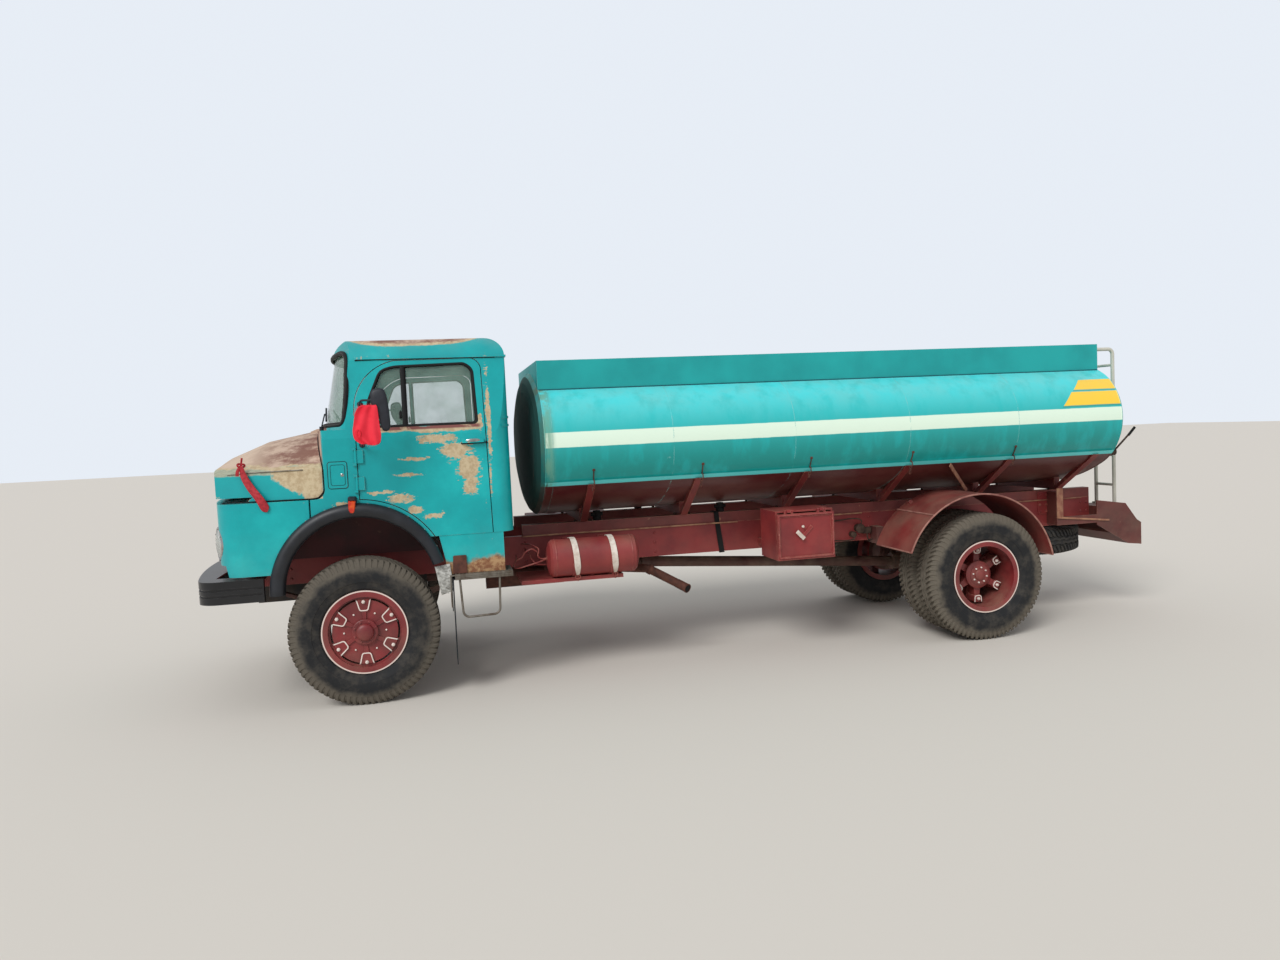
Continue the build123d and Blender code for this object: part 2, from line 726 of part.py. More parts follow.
def cab_side_outline():
    """The cab from the side: a low brow over the windscreen and a roof that falls away behind."""
    rear = cab_rear
    edges = [Line((-700, cab_bottom), (rear, cab_bottom)), Line((rear, cab_bottom), (rear, gutter_height)),
             ThreePointArc((rear, gutter_height), (1040, 2490), (960, 2545)),
             ThreePointArc((960, 2545), (480, roof_top), (0, 2553)),
             ThreePointArc((0, 2553), (-110, 2525), (-190, 2484)), Line((-190, 2484), (-700, 2484)),
             Line((-700, 2484), (-700, cab_bottom))]
    return make_face([edge for line in edges for edge in line.edges()])


def whole_cab(inset):
    """The cab's form, made smaller by inset on every side."""
    front = front_view(offset(cab_front_outline(), amount=-inset), -800, 1200)
    side = side_view(offset(cab_side_outline(), amount=-inset), -1300, 1300)
    rear = bowed_face(-900, -800, cab_half - inset, cab_rear - inset, 4, 110 - inset / 2)
    back = inset - 400 * screen_lean
    plan = bowed_face(screen_middle + back, screen_corner + back, cab_half, 2500, 90, 4)
    leaning = Plane.XY.offset(belt_height - 400) * plan
    rise = 1200
    screen = extrude(leaning, rise * sqrt(1 + screen_lean ** 2), dir=(screen_lean, 0, 1))
    upper = screen & box((-900, 1200), (-1300, 1300), (belt_height, 2700))
    scuttle = bowed_face(scuttle_middle + inset, scuttle_corner + inset, cab_half, 1300, 6, 4)
    lower = plan_view(scuttle, cab_bottom, belt_height)
    return (upper + lower) & front & side & plan_view(rear, cab_bottom, 2700)


def cab_shell():
    scuttle = box((scuttle_middle - 50, -40), (-900, 900), (belt_height - wall, belt_height))
    inner = whole_cab(wall)
    shell = whole_cab(0) - inner
    return shell + (inner & scuttle)


def door_outline():
    """The door in side view: a rounded top front, and a lower edge that follows the arch."""
    reach = arch_radius + 25
    front_low = arch_z + sqrt(reach ** 2 - (door_front - arch_x) ** 2)
    sill = 1140
    sill_x = arch_x + sqrt(reach ** 2 - (sill - arch_z) ** 2)
    mid = (arch_x + reach * cos(radians(62)), arch_z + reach * sin(radians(62)))
    edges = [Line((door_front, front_low), (door_front, 2010)),
             ThreePointArc((door_front, 2010), (105, 2285), (300, 2392)),
             Line((300, 2392), (800, 2398)),
             ThreePointArc((800, 2398), (872, 2370), (895, 2300)),
             Line((895, 2300), (919, sill)), Line((919, sill), (sill_x, sill)),
             ThreePointArc((sill_x, sill), mid, (door_front, front_low))]
    return make_face([edge for line in edges for edge in line.edges()])


window_low, window_high = 1932, 2362
vent_post = (345, 362)


def window_outline():
    opening = outline((112, window_low), (104, 2100), (200, 2325), (290, 2352), (780, window_high),
                      (838, 2320), (852, window_low))
    return fillet(opening.vertices(), 26)


def screen_outline():
    """The part of the cab's side view that the wrapped windscreen takes."""
    return outline((-500, 1962), (-62, 1962), (-48, 1990), (-12, 2400), (-22, 2455), (-60, 2478),
                   (-500, 2478))


def rear_light_outline():
    return fillet(outline((-430, 1960), (430, 1960), (430, 2260), (-430, 2260)).vertices(), 60)


def door_cut(gap, side):
    face = offset(door_outline(), amount=gap)
    return side_view(face, -cab_half - 5, -930) if side < 0 else side_view(face, 930, cab_half + 5)


def split_line(y_half):
    """The side view of everything above the rain gutter."""
    above = outline((-600, 2479), (5, 2479), (45, 2412), (1200, 2404), (1200, 2700), (-600, 2700))
    return side_view(above, -y_half, y_half)


def cab_body(shell):
    body = shell - split_line(1300)
    skin = whole_cab(-rib_rise) - whole_cab(3)
    for side in (-1, 1):
        body -= door_cut(door_gap / 2, side)
    body -= side_view(screen_outline(), -1300, 1300)
    body -= front_view(rear_light_outline(), 900, 1200)
    body -= arch_cylinder(arch_radius, -cab_half - 1, -arch_depth)
    body -= arch_cylinder(arch_radius, arch_depth, cab_half + 1)
    for side in (-1, 1):
        corner = outline((-305, 1300), (-305, 1530), (-190, 1530), (-190, 1300))
        cowl = side_view(corner - bonnet_side(seam_gap),
                         *on_side(side, cab_half - 28, cab_half))
        body += cowl - arch_cylinder(arch_radius, -1200, 1200)
        apron = side_view(outline((585, 873), (990, 873), (990, cab_bottom), (540, cab_bottom), (575, 980)),
                          *on_side(side, cab_half - 28, cab_half - 4))
        body += apron - arch_cylinder(arch_radius + 1, -1200, 1200)
        body += door_pins(side)
        body += cab_trim(side, skin)
    return body + seat_frame() + scuttle_hinges() + floor_controls()


def cab_trim(side, skin):
    """The vent flap on the cowl and the two short ribs on the cab's rear corner."""
    flap = fillet(outline((-176, 1526), (-52, 1526), (-52, 1705), (-176, 1705)).vertices(), 16)
    parts = [side_view(flap, *on_side(side, cab_half - 2, cab_half + 3))]
    for z in (1900, 1957):
        band = box((1020, cab_rear + 10), on_side(side, 930, cab_half + 10), (z, z + 16))
        parts.append(band & skin)
    return parts


rib_rise = 6


def floor_controls():
    """The gear lever and three pedals, which stand on the floor."""
    floor = cab_bottom + wall
    lever = [rod((300, -190, floor - 2), (330, -200, 1620), 9) + Pos(330, -200, 1625) * Sphere(24)]
    for y in (-395, -300, -205):
        arm = rod((60, y, floor - 2), (95, y, floor + 120), 7)
        lever.append(arm + Pos(98, y, floor + 122) * Rot(0, 35, 0) * Box(14, 70, 90))
    return lever


def cab_roof(shell):
    roof = shell & split_line(1300)
    gutter = side_view(outline((40, 2405), (40, 2418), (1078, 2412), (1078, 2399)), -1300, 1300)
    gutter &= whole_cab(-12)
    gutter -= whole_cab(0)
    return roof + gutter


def glass_band(low, high):
    return whole_cab(low) - whole_cab(high)


def door(shell, side):
    panel = shell & door_cut(-door_gap / 2, side)
    panel -= side_view(window_outline(), *on_side(side, 800, 1200))
    post = box(vent_post, on_side(side, 900, 1200), (window_low - 4, window_high - 2))
    panel += shell & post & door_cut(-door_gap / 2, side)
    handle = box((735, 885), on_side(side, cab_half - 2, cab_half + 34), (1795, 1822))
    handle -= box((700, 900), on_side(side, 900, cab_half - 4), (1700, 1900))
    panel += handle
    for z in door_hinge_heights:
        span = (z, z + door_hinge_length)
        leaf = box((hinge_x, 62), on_side(side, cab_half + moving_gap, cab_half + 14), span)
        leaf += box((34, 62), on_side(side, cab_half - 4, cab_half + 7), span)
        panel += leaf + upright(hinge_x, side * hinge_y, z, z + door_hinge_length, 9)
        bore = door_pin_radius + running_gap
        panel -= upright(hinge_x, side * hinge_y, z - 1, z + door_hinge_length + 1, bore)
    return panel


hinge_x = 12
hinge_y = 1104
door_hinge_heights = (1505, 1690)
door_hinge_length = 90
door_pin_radius = 5


def door_pins(side):
    """The cab's lugs above and below each door hinge, with the pin between them."""
    parts = []
    for z in door_hinge_heights:
        pin = upright(hinge_x, side * hinge_y, z - 14, z + door_hinge_length + 14, door_pin_radius)
        for low in (z - 16, z + door_hinge_length + 1):
            pin += box((-8, 16), on_side(side, cab_half - 2, hinge_y + 8), (low, low + 15))
        parts.append(pin)
    return parts


def door_glass(side):
    pane = side_view(window_outline(), *on_side(side, 800, 1200))
    pane &= glass_band(glass_inset, glass_inset + glass_wall)
    return pane - box(vent_post, (-1300, 1300), (1900, 2400))


mirror_y = 1335


def door_mirror(side):
    """The mirror head on two arms from the door's front edge."""
    head = box((150, 268), (-mirror_y - 20, -mirror_y + 20), (1900, 2185))
    head = fillet(head.edges().filter_by(Axis.Y), 45)
    waist = belt_height - 60
    lean = (cab_half - gutter_half) / (gutter_height - waist)
    # columns: height of the arm at the door and at the mirror's head
    for low, high in ((1815, 1960), (2095, 2140)):
        y_door = -cab_half + max(0, low - waist) * lean - 2
        head += rod((60, y_door, low), (190, -mirror_y + 18, high), 9)
    head -= whole_cab(0)
    return head if side < 0 else other_side(head)


cloth_wall = 10


def mirror_cloth():
    """The folded cloth hung on the left mirror's lower arm, as one plain slab."""
    face = outline((24, 1905), (50, 2060), (110, 2110), (200, 2110), (215, 1980), (203, 1830),
                   (60, 1822), (24, 1860))
    outer_face = -mirror_y - 20 - running_gap
    return side_view(face, outer_face - cloth_wall, outer_face)


def bonnet_ribbon():
    """The ribbon on the bonnet's left side, knotted near the crease."""
    face = outline((-765, 1680), (-715, 1680), (-560, 1400), (-600, 1385), (-640, 1400))
    y = -nose_half - running_gap
    knot = rod((-735, y - 6, 1655), (-735, y + 120, 1640), 14) - bonnet_block(-running_gap)
    return side_view(face, y - 6, y) + knot


def windscreen():
    return glass_band(glass_inset, glass_inset + glass_wall) & side_view(screen_outline(), -1300, 1300)


def rear_window():
    pane = front_view(rear_light_outline(), 900, 1200)
    return glass_band(glass_inset, glass_inset + glass_wall) & pane


def screen_x(y, z, clear):
    """Where the windscreen's outer face lies, moved forward by clear."""
    sagitta = screen_corner - screen_middle
    bow = (cab_half ** 2 + sagitta ** 2) / (2 * sagitta)
    behind = bow - sqrt(bow ** 2 - y ** 2)
    return screen_middle + glass_inset - clear + screen_lean * (z - belt_height) + behind


def wipers():
    """Two arms from the scuttle, each with a blade that lies on the windscreen."""
    y, low, high = wiper_pivot_y, wiper_low_end, wiper_high_end
    middle = ((low[0] + high[0]) / 2, (low[1] + high[1]) / 2)
    foot = screen_x(y, belt_height, 45)
    wiper = upright(foot, y, belt_height + running_gap, belt_height + 34, 15)
    wiper += rod((foot, y, belt_height + 26), (screen_x(*middle, 22), *middle), 5)
    wiper += rod((screen_x(*low, 14), *low), (screen_x(*high, 14), *high), 7)
    return both_sides(wiper + rod((screen_x(*middle, 24), *middle), (screen_x(*middle, 12), *middle), 8))


wiper_pivot_y = -640
wiper_low_end = (-560, 2000)
wiper_high_end = (-250, 2100)


seat_base_top = 1330


def seat_frame():
    base = box((560, 960), (-880, 880), (cab_bottom + wall, seat_base_top))
    return base - box((600, 920), (-840, 840), (cab_bottom, seat_base_top - 20))


def seat_cushions():
    cushions = []
    top = 1460
    low = top + running_gap
    for y_low, y_high in ((-880, -260), (-230, 880)):
        pad = box((500, 960), (y_low, y_high), (seat_base_top + running_gap, top))
        back = outline((900, low), (985, low), (1020, 1900), (950, 1900))
        cushions.append(fillet(pad.edges().filter_by(Axis.Z), 40))
        cushions.append(side_view(back, y_low, y_high))
    return group(cushions)


wheel_x = 330
wheel_y = -470
wheel_z = 1800


def steering_wheel():
    """Rim, three spokes and the column down to the floor."""
    tilt = 28
    place = Pos(wheel_x, wheel_y, wheel_z) * Rot(0, tilt, 0)
    wheel = place * Torus(225, 13)
    wheel += place * Cylinder(38, 40)
    for turn in (90, 210, 330):
        wheel += place * Rot(0, 0, turn) * Pos(112, 0, 0) * Box(225, 26, 12)
    down = place * Pos(0, 0, -1) * Location((0, 0, -690))
    wheel += rod((wheel_x, wheel_y, wheel_z), tuple(down.position), 24)
    wheel += rod((245, wheel_y, 1640), (40, wheel_y, 1680), 16)
    return (wheel & box((-100, 900), (-900, 0), (cab_bottom + wall, 2100))) - dashboard()


def dashboard():
    face = outline((-190, 1560), (-190, 1884), (-40, 1884), (120, 1850), (140, 1800), (60, 1640))
    return side_view(face, -1030, 1030) & whole_cab(wall)


# Steps, flaps, lamps and what hangs on the frame
step_front, step_rear = 634, 1040


def cab_steps():
    plate = box((step_front, step_rear), (-1130, -860), (832, 872))
    arm = box((700, 760), (-862, -rail_half), (832, 872)) + box((920, 980), (-862, -rail_half), (832, 872))
    hoop = pipe([(665, -1110, 840), (680, -1110, 560), (936, -1110, 568), (945, -1110, 840)], 8, 45)
    splash = box((598, 606), (-1120, -900), (640, 868)) + box((598, 640), (-1120, -900), (860, 868))
    return both_sides(plate + arm + hoop + splash)


def mudflaps():
    flap = box((616, 624), (-1125, -880), (230, 842))
    return both_sides(flap + box((616, step_front), (-1125, -880), (834, 842)))


cylinder_y = 862
cylinder_z = 898
cylinder_radius = 140


def side_cylinder():
    """The strapped cylinder on the left of the frame, with dished ends."""
    tank = rod((1350, -cylinder_y, cylinder_z), (1973, -cylinder_y, cylinder_z), cylinder_radius)
    for end, inward in ((1350, -1), (1973, 1)):
        base = Plane(origin=(end, -cylinder_y, cylinder_z), z_dir=(inward, 0, 0))
        tank += base * Pos(0, 0, 9) * Cone(cylinder_radius, cylinder_radius - 18, 18)
        tank += base * Pos(0, 0, 27.5) * Cone(cylinder_radius - 18, 60, 19)
    return tank


def side_carrier():
    """The straps, the tray under the cylinder and its arms to the frame."""
    parts = box((1115, 1883), (-rail_half - 480, -rail_half - 6), (722, 750))
    for x in (1495, 1780):
        y, z = -cylinder_y, cylinder_z
        band = rod((x, y, z), (x + 40, y, z), cylinder_radius + 5)
        parts += band - rod((x - 1, y, z), (x + 41, y, z), cylinder_radius + 0.4)
        parts += box((x, x + 40), (-cylinder_y - 20, -rail_half), (722, 754))
        parts += box((x, x + 40), (-rail_half - 14, -rail_half), (750, 1000))
    return parts - side_cylinder()


def fuel_tank():
    """The square tank on the frame's right side, on two arms."""
    tank = box((1330, 2050), (rail_half + 70, 1010), (700, 1090))
    tank = fillet(tank.edges().filter_by(Axis.X), 60)
    for x in (1450, 1890):
        tank += box((x, x + 50), (rail_half, 900), (670, 705))
        tank += box((x, x + 50), (rail_half, rail_half + 14), (670, 1000))
        tank += box((x, x + 50), (rail_half, rail_half + 72), (900, 960))
    tank += rod((1560, 820, 1080), (1560, 820, 1130), 45)
    return tank


def exhaust():
    """Down pipe, silencer and the tail that turns down behind the cylinder."""
    tail = pipe([(900, -300, 700), (1880, -330, 712), (2120, -700, 740), (2410, -712, 570)], 34, 60)
    box_part = rod((880, -300, 700), (1500, -315, 706), 85)
    for x in (1000, 1340):
        tail += box((x, x + 40), (-rail_half + 20, -300), (700, rail_bottom))
    return tail + box_part


toolbox_front, toolbox_rear = 3075, 3545
toolbox_outer, toolbox_inner = 1050, 690
toolbox_bottom, toolbox_top = 770, 1150
toolbox_wall = 12
toolbox_door_thick = 16


def toolbox():
    """An open-fronted box with its arms to the frame."""
    face, wall_y = toolbox_outer - toolbox_door_thick - moving_gap, toolbox_inner + toolbox_wall
    body = box((toolbox_front, toolbox_rear), (-face, -toolbox_inner), (toolbox_bottom, toolbox_top))
    body -= box((toolbox_front + toolbox_wall, toolbox_rear - toolbox_wall), (-face - 1, -wall_y),
                (toolbox_bottom + toolbox_wall, toolbox_top - toolbox_wall))
    for x in (toolbox_front + 60, toolbox_rear - 110):
        body += box((x, x + 50), (-toolbox_inner, -rail_half), (toolbox_bottom + 60, toolbox_bottom + 110))
    y, z = -toolbox_hinge_y, toolbox_hinge_z
    for x in toolbox_hinges:
        body += box((x - 15, x + 15), (y - 12, -face + 2), (z - 12, z + 12))
        body -= rod((x - 16, y, z), (x + 16, y, z), toolbox_pin_radius + running_gap)
    return body


toolbox_hinge_y = toolbox_outer - toolbox_door_thick / 2
toolbox_hinge_z = toolbox_top
toolbox_hinges = (3175, 3445)
toolbox_pin_radius = 6


def toolbox_door():
    """The front, hinged along its top edge, with a raised rim and its hasp."""
    inner, top = toolbox_outer - toolbox_door_thick, toolbox_top - 22
    panel = box((toolbox_front, toolbox_rear), (-toolbox_outer, -inner), (toolbox_bottom, top))
    outer, edge = -toolbox_outer, 26
    rim = box((toolbox_front, toolbox_rear), (outer - 6, outer), (toolbox_bottom, top))
    rim -= box((toolbox_front + edge, toolbox_rear - edge), (outer - 7, outer + 1),
               (toolbox_bottom + edge, top - edge))
    hasp = Pos((toolbox_front + toolbox_rear) / 2 + 10, outer - 5, 985) * Rot(0, 45, 0) * Box(24, 10, 110)
    panel += rim + hasp
    y, z = -toolbox_hinge_y, toolbox_hinge_z
    for x in toolbox_hinges:
        panel += rod((x - 36, y, z), (x + 36, y, z), toolbox_pin_radius)
        for low in (x - 36, x + 18):
            panel += box((low, low + 18), (y - toolbox_pin_radius, -inner), (top - 1, z))
            panel += rod((low, y, z), (low + 18, y, z), 8)
    return panel


def rear_mudguards():
    """Arched plates over the twin wheels, on stays from the frame."""
    def disc(radius, y_low, y_high):
        return rod((guard_x, y_low, guard_z), (guard_x, y_high, guard_z), radius)

    plate = disc(guard_radius + guard_wall, -guard_outer, -guard_inner)
    plate -= disc(guard_radius, -guard_outer - 1, -guard_inner + 1)
    plate -= box((guard_x - 900, guard_x), (-1300, 0), (-200, guard_front_low))
    plate -= box((guard_x, guard_x + 900), (-1300, 0), (-200, guard_rear_low))
    # columns: x of the stay from the arch's middle, its height at the plate and at the rail
    for x, high, low in ((-330, 1118, 980), (560, 892, 892)):
        plate += rod((guard_x + x, -guard_inner - 80, high), (guard_x + x, -rail_half + 20, low), 18)
    return both_sides(plate - box((guard_x - 900, guard_x + 900), (-rail_half, 0), (0, 1300)))


spare_x = wheelbase + 1070
spare_top = 782


def spare_wheel():
    """The spare lies flat under the rear of the frame."""
    return Pos(spare_x, 0, spare_top - tyre_width / 2) * Rot(90, 0, 0) * tyre_solid()


def spare_carrier():
    """The spare's rim and disc, hung by a screw from a bar between the rails."""
    middle, inner = spare_top - tyre_width / 2, rail_half - rail_wall
    rim = rim_ring() + turned(seat_radius - rim_wall + 0.5, -9, 9)
    wheel = Pos(spare_x, 0, middle) * Rot(90, 0, 0) * rim
    wheel += upright(spare_x, 0, middle, rail_bottom + 60, 26)
    return wheel + box((spare_x - 40, spare_x + 40), (-inner, inner), (rail_bottom + 60, rail_bottom + 110))


ladder_x = rail_rear + 195
ladder_sides = (-520, -290)
ladder_tube = 16
ladder_foot_z = 948
rung_count = 5


def rear_tray():
    """The open tray behind the frame: a sloping floor, two cheeks and a rear lip."""
    front, bend, low = rail_rear - 53, tray_rear - 135, tray_bottom
    cheek = outline((front, 1010), (tray_rear - 161, 966), (tray_rear - 45, 812), (tray_rear, tray_lip),
                    (tray_rear, low), (bend, low + 15), (front, 790))
    cheek = side_view(cheek, -tray_half, -tray_half + tray_wall)
    tray = cheek + other_side(cheek)
    slope = rail_rear + 120
    floor = outline((slope, low + 115), (bend, low + 15), (tray_rear, low), (tray_rear, low + tray_wall),
                    (bend + 4, low + 15 + tray_wall), (slope, low + 131))
    tray += side_view(floor, -tray_half, tray_half)
    tray += box((tray_rear - tray_wall, tray_rear), (-tray_half, tray_half), (low, tray_lip))
    tray += box((rail_rear, rail_rear + 60), (-tray_half, tray_half), (810, 880))
    foot = (-tray_half + tray_wall, ladder_sides[1] + 40)
    tray += box((rail_rear, ladder_x + 40), foot, (ladder_foot_z - 12, ladder_foot_z))
    tray += box((rail_rear, rail_rear + 12), foot, (870, ladder_foot_z))
    bar = box((spare_x - 30, rail_rear + 60), (-tray_half, -tray_half + 40), (810, 880))
    bar += box((spare_x - 10, spare_x + 50), (-tray_half + 38, -rail_half), (810, 1100))
    tray += bar + other_side(bar)
    bore, z = tail_lamp_radius + running_gap, tail_lamp_z
    for y in (-tail_lamp_y, tail_lamp_y):
        tray -= rod((tray_rear - 20, y, z), (tray_rear + 1, y, z), bore)
    return tray


tray_bottom, tray_lip, tray_wall = 585, 783, 12


def ladder():
    """Two tubes from the tray up to the coaming, with rungs."""
    frame = None
    for y in ladder_sides:
        rail = pipe([(ladder_x, y, 960), (ladder_x, y, 2352), (tank_rear, y, 2352)], ladder_tube, 45)
        frame = rail if frame is None else frame + rail
        frame += box((ladder_x - 30, ladder_x + 30), (y - 22, y + 22), (ladder_foot_z, ladder_foot_z + 14))
    for number in range(rung_count):
        z = 1130 + 270 * number
        frame += rod((ladder_x, ladder_sides[0], z), (ladder_x, ladder_sides[1], z), 12)
    return frame


outlet_z = 1290
outlet_radius = 45
outlet_length = 60


def outlet_valve():
    """The drain pipe at the back of the tank, its valve body, lever and threaded end."""
    end = tank_rear + 250
    valve = rod((tank_rear, 0, outlet_z), (end - outlet_length, 0, outlet_z), outlet_radius + 14)
    valve += rod((tank_rear, 0, outlet_z), (tank_rear + 18, 0, outlet_z), 95)
    valve += rod((end - outlet_length, 0, outlet_z), (end, 0, outlet_z), outlet_radius)
    valve += Pos(tank_rear + 120, 0, outlet_z) * Sphere(82)
    side = rod((tank_rear, -860, rail_belt_z + 10), (tank_rear + 70, -860, rail_belt_z + 10), 30)
    lever = rod((tank_rear + 60, -860, rail_belt_z + 10), (tank_rear + 225, -880, rail_belt_z + 175), 8)
    head = tank_head(tank_rear, 1)
    return group([*(valve - head).solids(), *(side + lever - head).solids()])


tail_lamp_y = 480
tail_lamp_z = 690
tail_lamp_radius = 45


def lamps_small():
    """Side markers on the flares and the tail lamps on the tray."""
    marker = box((-50, 2), (-1132, -cab_half), (1421, 1466))
    y, z = -tail_lamp_y, tail_lamp_z
    tail = rod((tray_rear - 60, y, z), (tray_rear, y, z), tail_lamp_radius)
    return group([*both_sides(marker).solids(), *both_sides(tail).solids()])


shell = cab_shell()
save("frame", frame_rails())
save("tank_bearers", tank_bearers())
save("tank_shell", tank_shell())
save("coaming", coaming())
save("manhole_lid", manhole_lid())
save("front_axle", front_axle())
save("rear_axle", rear_axle())
save("leaf_springs", leaf_springs())
save("knuckle_left", knuckle())
save("knuckle_right", other_side(knuckle()))
save("tie_rod", tie_rod())
save("engine", engine())
save("propshaft", propshaft())

tyre = tyre_solid()
front_place = Pos(0, -front_wheel_y, tyre_radius)
rear_place = Pos(wheelbase, -rear_wheel_y, tyre_radius)
twin_tyres = group([*(rear_place * tyre).solids(), *(rear_place * Pos(0, twin_spacing, 0) * tyre).solids()])
for node, piece in (("front_tyre", front_place * tyre), ("front_rim", front_place * front_rim()),
                    ("rear_tyres", twin_tyres), ("rear_rims", rear_place * rear_rim())):
    save(node + "_left", piece)
    save(node + "_right", other_side(piece))

save("front_wings", front_wings())
save("headlamps", headlamps())
save("bonnet", bonnet())
save("grille", grille())
save("bonnet_ribbon", bonnet_ribbon())
save("arch_flares", arch_flares())
save("wheelhouses", wheelhouses())
save("front_bumper", front_bumper())
save("cab_body", cab_body(shell))
save("cab_roof", cab_roof(shell))
for name, side in (("left", -1), ("right", 1)):
    save("door_" + name, door(shell, side))
    save("door_glass_" + name, door_glass(side))
    save("mirror_" + name, door_mirror(side))
save("mirror_cloth", mirror_cloth())
save("cab_glass", group([*windscreen().solids(), *rear_window().solids()]))
save("wipers", wipers())
save("seats", seat_cushions())
save("dashboard", dashboard())
save("steering_wheel", steering_wheel())
save("cab_steps", cab_steps())
save("mudflaps", mudflaps())
save("side_cylinder", side_cylinder())
save("side_carrier", side_carrier())
save("fuel_tank", fuel_tank())
save("exhaust", exhaust())
save("toolbox", toolbox())
save("toolbox_door", toolbox_door())
save("rear_mudguards", rear_mudguards())
save("spare_tyre", spare_wheel())
save("spare_carrier", spare_carrier())
save("rear_tray", rear_tray())
save("ladder", ladder())
save("outlet_valve", outlet_valve())
save("lamps_small", lamps_small())
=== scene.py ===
import math

import bmesh
import bpy
import numpy as np
from mathutils import Matrix, Vector


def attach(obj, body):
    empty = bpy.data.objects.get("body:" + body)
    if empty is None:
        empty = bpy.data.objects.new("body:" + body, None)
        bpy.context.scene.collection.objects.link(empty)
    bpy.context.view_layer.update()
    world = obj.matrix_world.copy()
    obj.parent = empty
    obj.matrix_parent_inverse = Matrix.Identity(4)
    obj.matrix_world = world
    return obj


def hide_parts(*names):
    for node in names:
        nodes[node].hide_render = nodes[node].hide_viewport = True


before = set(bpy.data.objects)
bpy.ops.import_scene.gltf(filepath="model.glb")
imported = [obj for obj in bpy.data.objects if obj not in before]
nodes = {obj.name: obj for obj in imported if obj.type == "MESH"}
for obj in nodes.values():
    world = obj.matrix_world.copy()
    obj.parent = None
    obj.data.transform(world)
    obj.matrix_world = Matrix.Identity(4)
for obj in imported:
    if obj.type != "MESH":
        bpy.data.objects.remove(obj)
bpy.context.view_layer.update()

# Lengths below are millimetres from the front axle (x), the truck's middle (y, its right is
# plus) and the ground (z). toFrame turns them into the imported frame's metres.
frontAxleX = -2782.5
wheelbase = 4830
tyreRadius = 515


def toFrame(points):
    return (np.asarray(points, float) + (frontAxleX, 0, 0)) / 1000


def frameX(x):
    return (x + frontAxleX) / 1000


def fromFrame(points):
    return np.asarray(points, float) * 1000 - (frontAxleX, 0, 0)


def linear(red, green, blue):
    # a colour as a screen shows it (0 to 255), turned into Blender's linear values
    share = np.array((red, green, blue)) / 255
    low, high = share / 12.92, ((share + 0.055) / 1.055) ** 2.4
    return (*np.where(share <= 0.04045, low, high), 1)


# node helpers: a Field is one output of a shader node, and each sign between Fields or a Field
# and a number makes a Math node
class Field:
    def __init__(self, node, output=0):
        self.tree, self.node, self.socket = node.id_data, node, node.outputs[output]

    def __rsub__(self, other):
        return mathNode(self.tree, "SUBTRACT", other, self)

    def __abs__(self):
        return mathNode(self.tree, "ABSOLUTE", self, 0)

    def clamped(self):
        self.node.use_clamp = True
        return self


def addSign(operation, *names):
    for name in names:
        setattr(Field, name, lambda self, other: mathNode(self.tree, operation, self, other))


addSign("ADD", "__add__", "__radd__")
addSign("MULTIPLY", "__mul__", "__rmul__")
addSign("SUBTRACT", "__sub__")
addSign("DIVIDE", "__truediv__")
addSign("POWER", "__pow__")


def setInputs(node, values):
    # a Field is linked, anything else is set on the socket itself
    for key, value in values.items():
        if isinstance(value, Field):
            node.id_data.links.new(value.socket, node.inputs[key])
        else:
            node.inputs[key].default_value = value


def addNode(tree, kind, values=None, **settings):
    node = tree.nodes.new(kind)
    for key, value in settings.items():
        setattr(node, key, value)
    setInputs(node, values or {})
    return node


def mathNode(tree, operation, first, second):
    return Field(addNode(tree, "ShaderNodeMath", {0: first, 1: second}, operation=operation))


def highest(first, *others):
    for other in others:
        first = mathNode(first.tree, "MAXIMUM", first, other)
    return first


def vectorMath(operation, *values, output=0):
    kind = "ShaderNodeVectorMath"
    return Field(addNode(values[0].tree, kind, dict(enumerate(values)), operation=operation), output)


def mixColour(share, first, second):
    return Field(addNode(share.tree, "ShaderNodeMix", {0: share, 6: first, 7: second}, data_type="RGBA"), 2)


def ramp(value, low, high, first=0, last=1):
    # a smooth step from first at low to last at high
    values = {0: value, 1: low, 2: high, 3: first, 4: last}
    return Field(addNode(value.tree, "ShaderNodeMapRange", values, interpolation_type="SMOOTHSTEP"))


def bandMask(coordinate, low, high, blur):
    # 1 between low and high on one coordinate
    return ramp(coordinate, low - blur, low + blur) * ramp(coordinate, high + blur, high - blur)


def objectPlace(tree):
    return Field(tree.nodes.new("ShaderNodeTexCoord"), "Object")


def surfaceNormal(tree):
    return Field(tree.nodes.new("ShaderNodeNewGeometry"), "Normal")


def axes(vector):
    node = addNode(vector.tree, "ShaderNodeSeparateXYZ", {0: vector})
    return [Field(node, axis) for axis in range(3)]


def noise(tree, scale, detail, roughness=0.5, place=None):
    values = {"Vector": place or objectPlace(tree), "Scale": scale, "Detail": detail, "Roughness": roughness}
    return Field(addNode(tree, "ShaderNodeTexNoise", values))


def mapped(tree, **values):
    # the object's coordinates moved by Location and stretched by Scale
    return Field(addNode(tree, "ShaderNodeMapping", {0: objectPlace(tree), **values}))


def bump(height, strength, distance):
    values = {"Height": height, "Strength": strength, "Distance": distance}
    return Field(addNode(height.tree, "ShaderNodeBump", values))


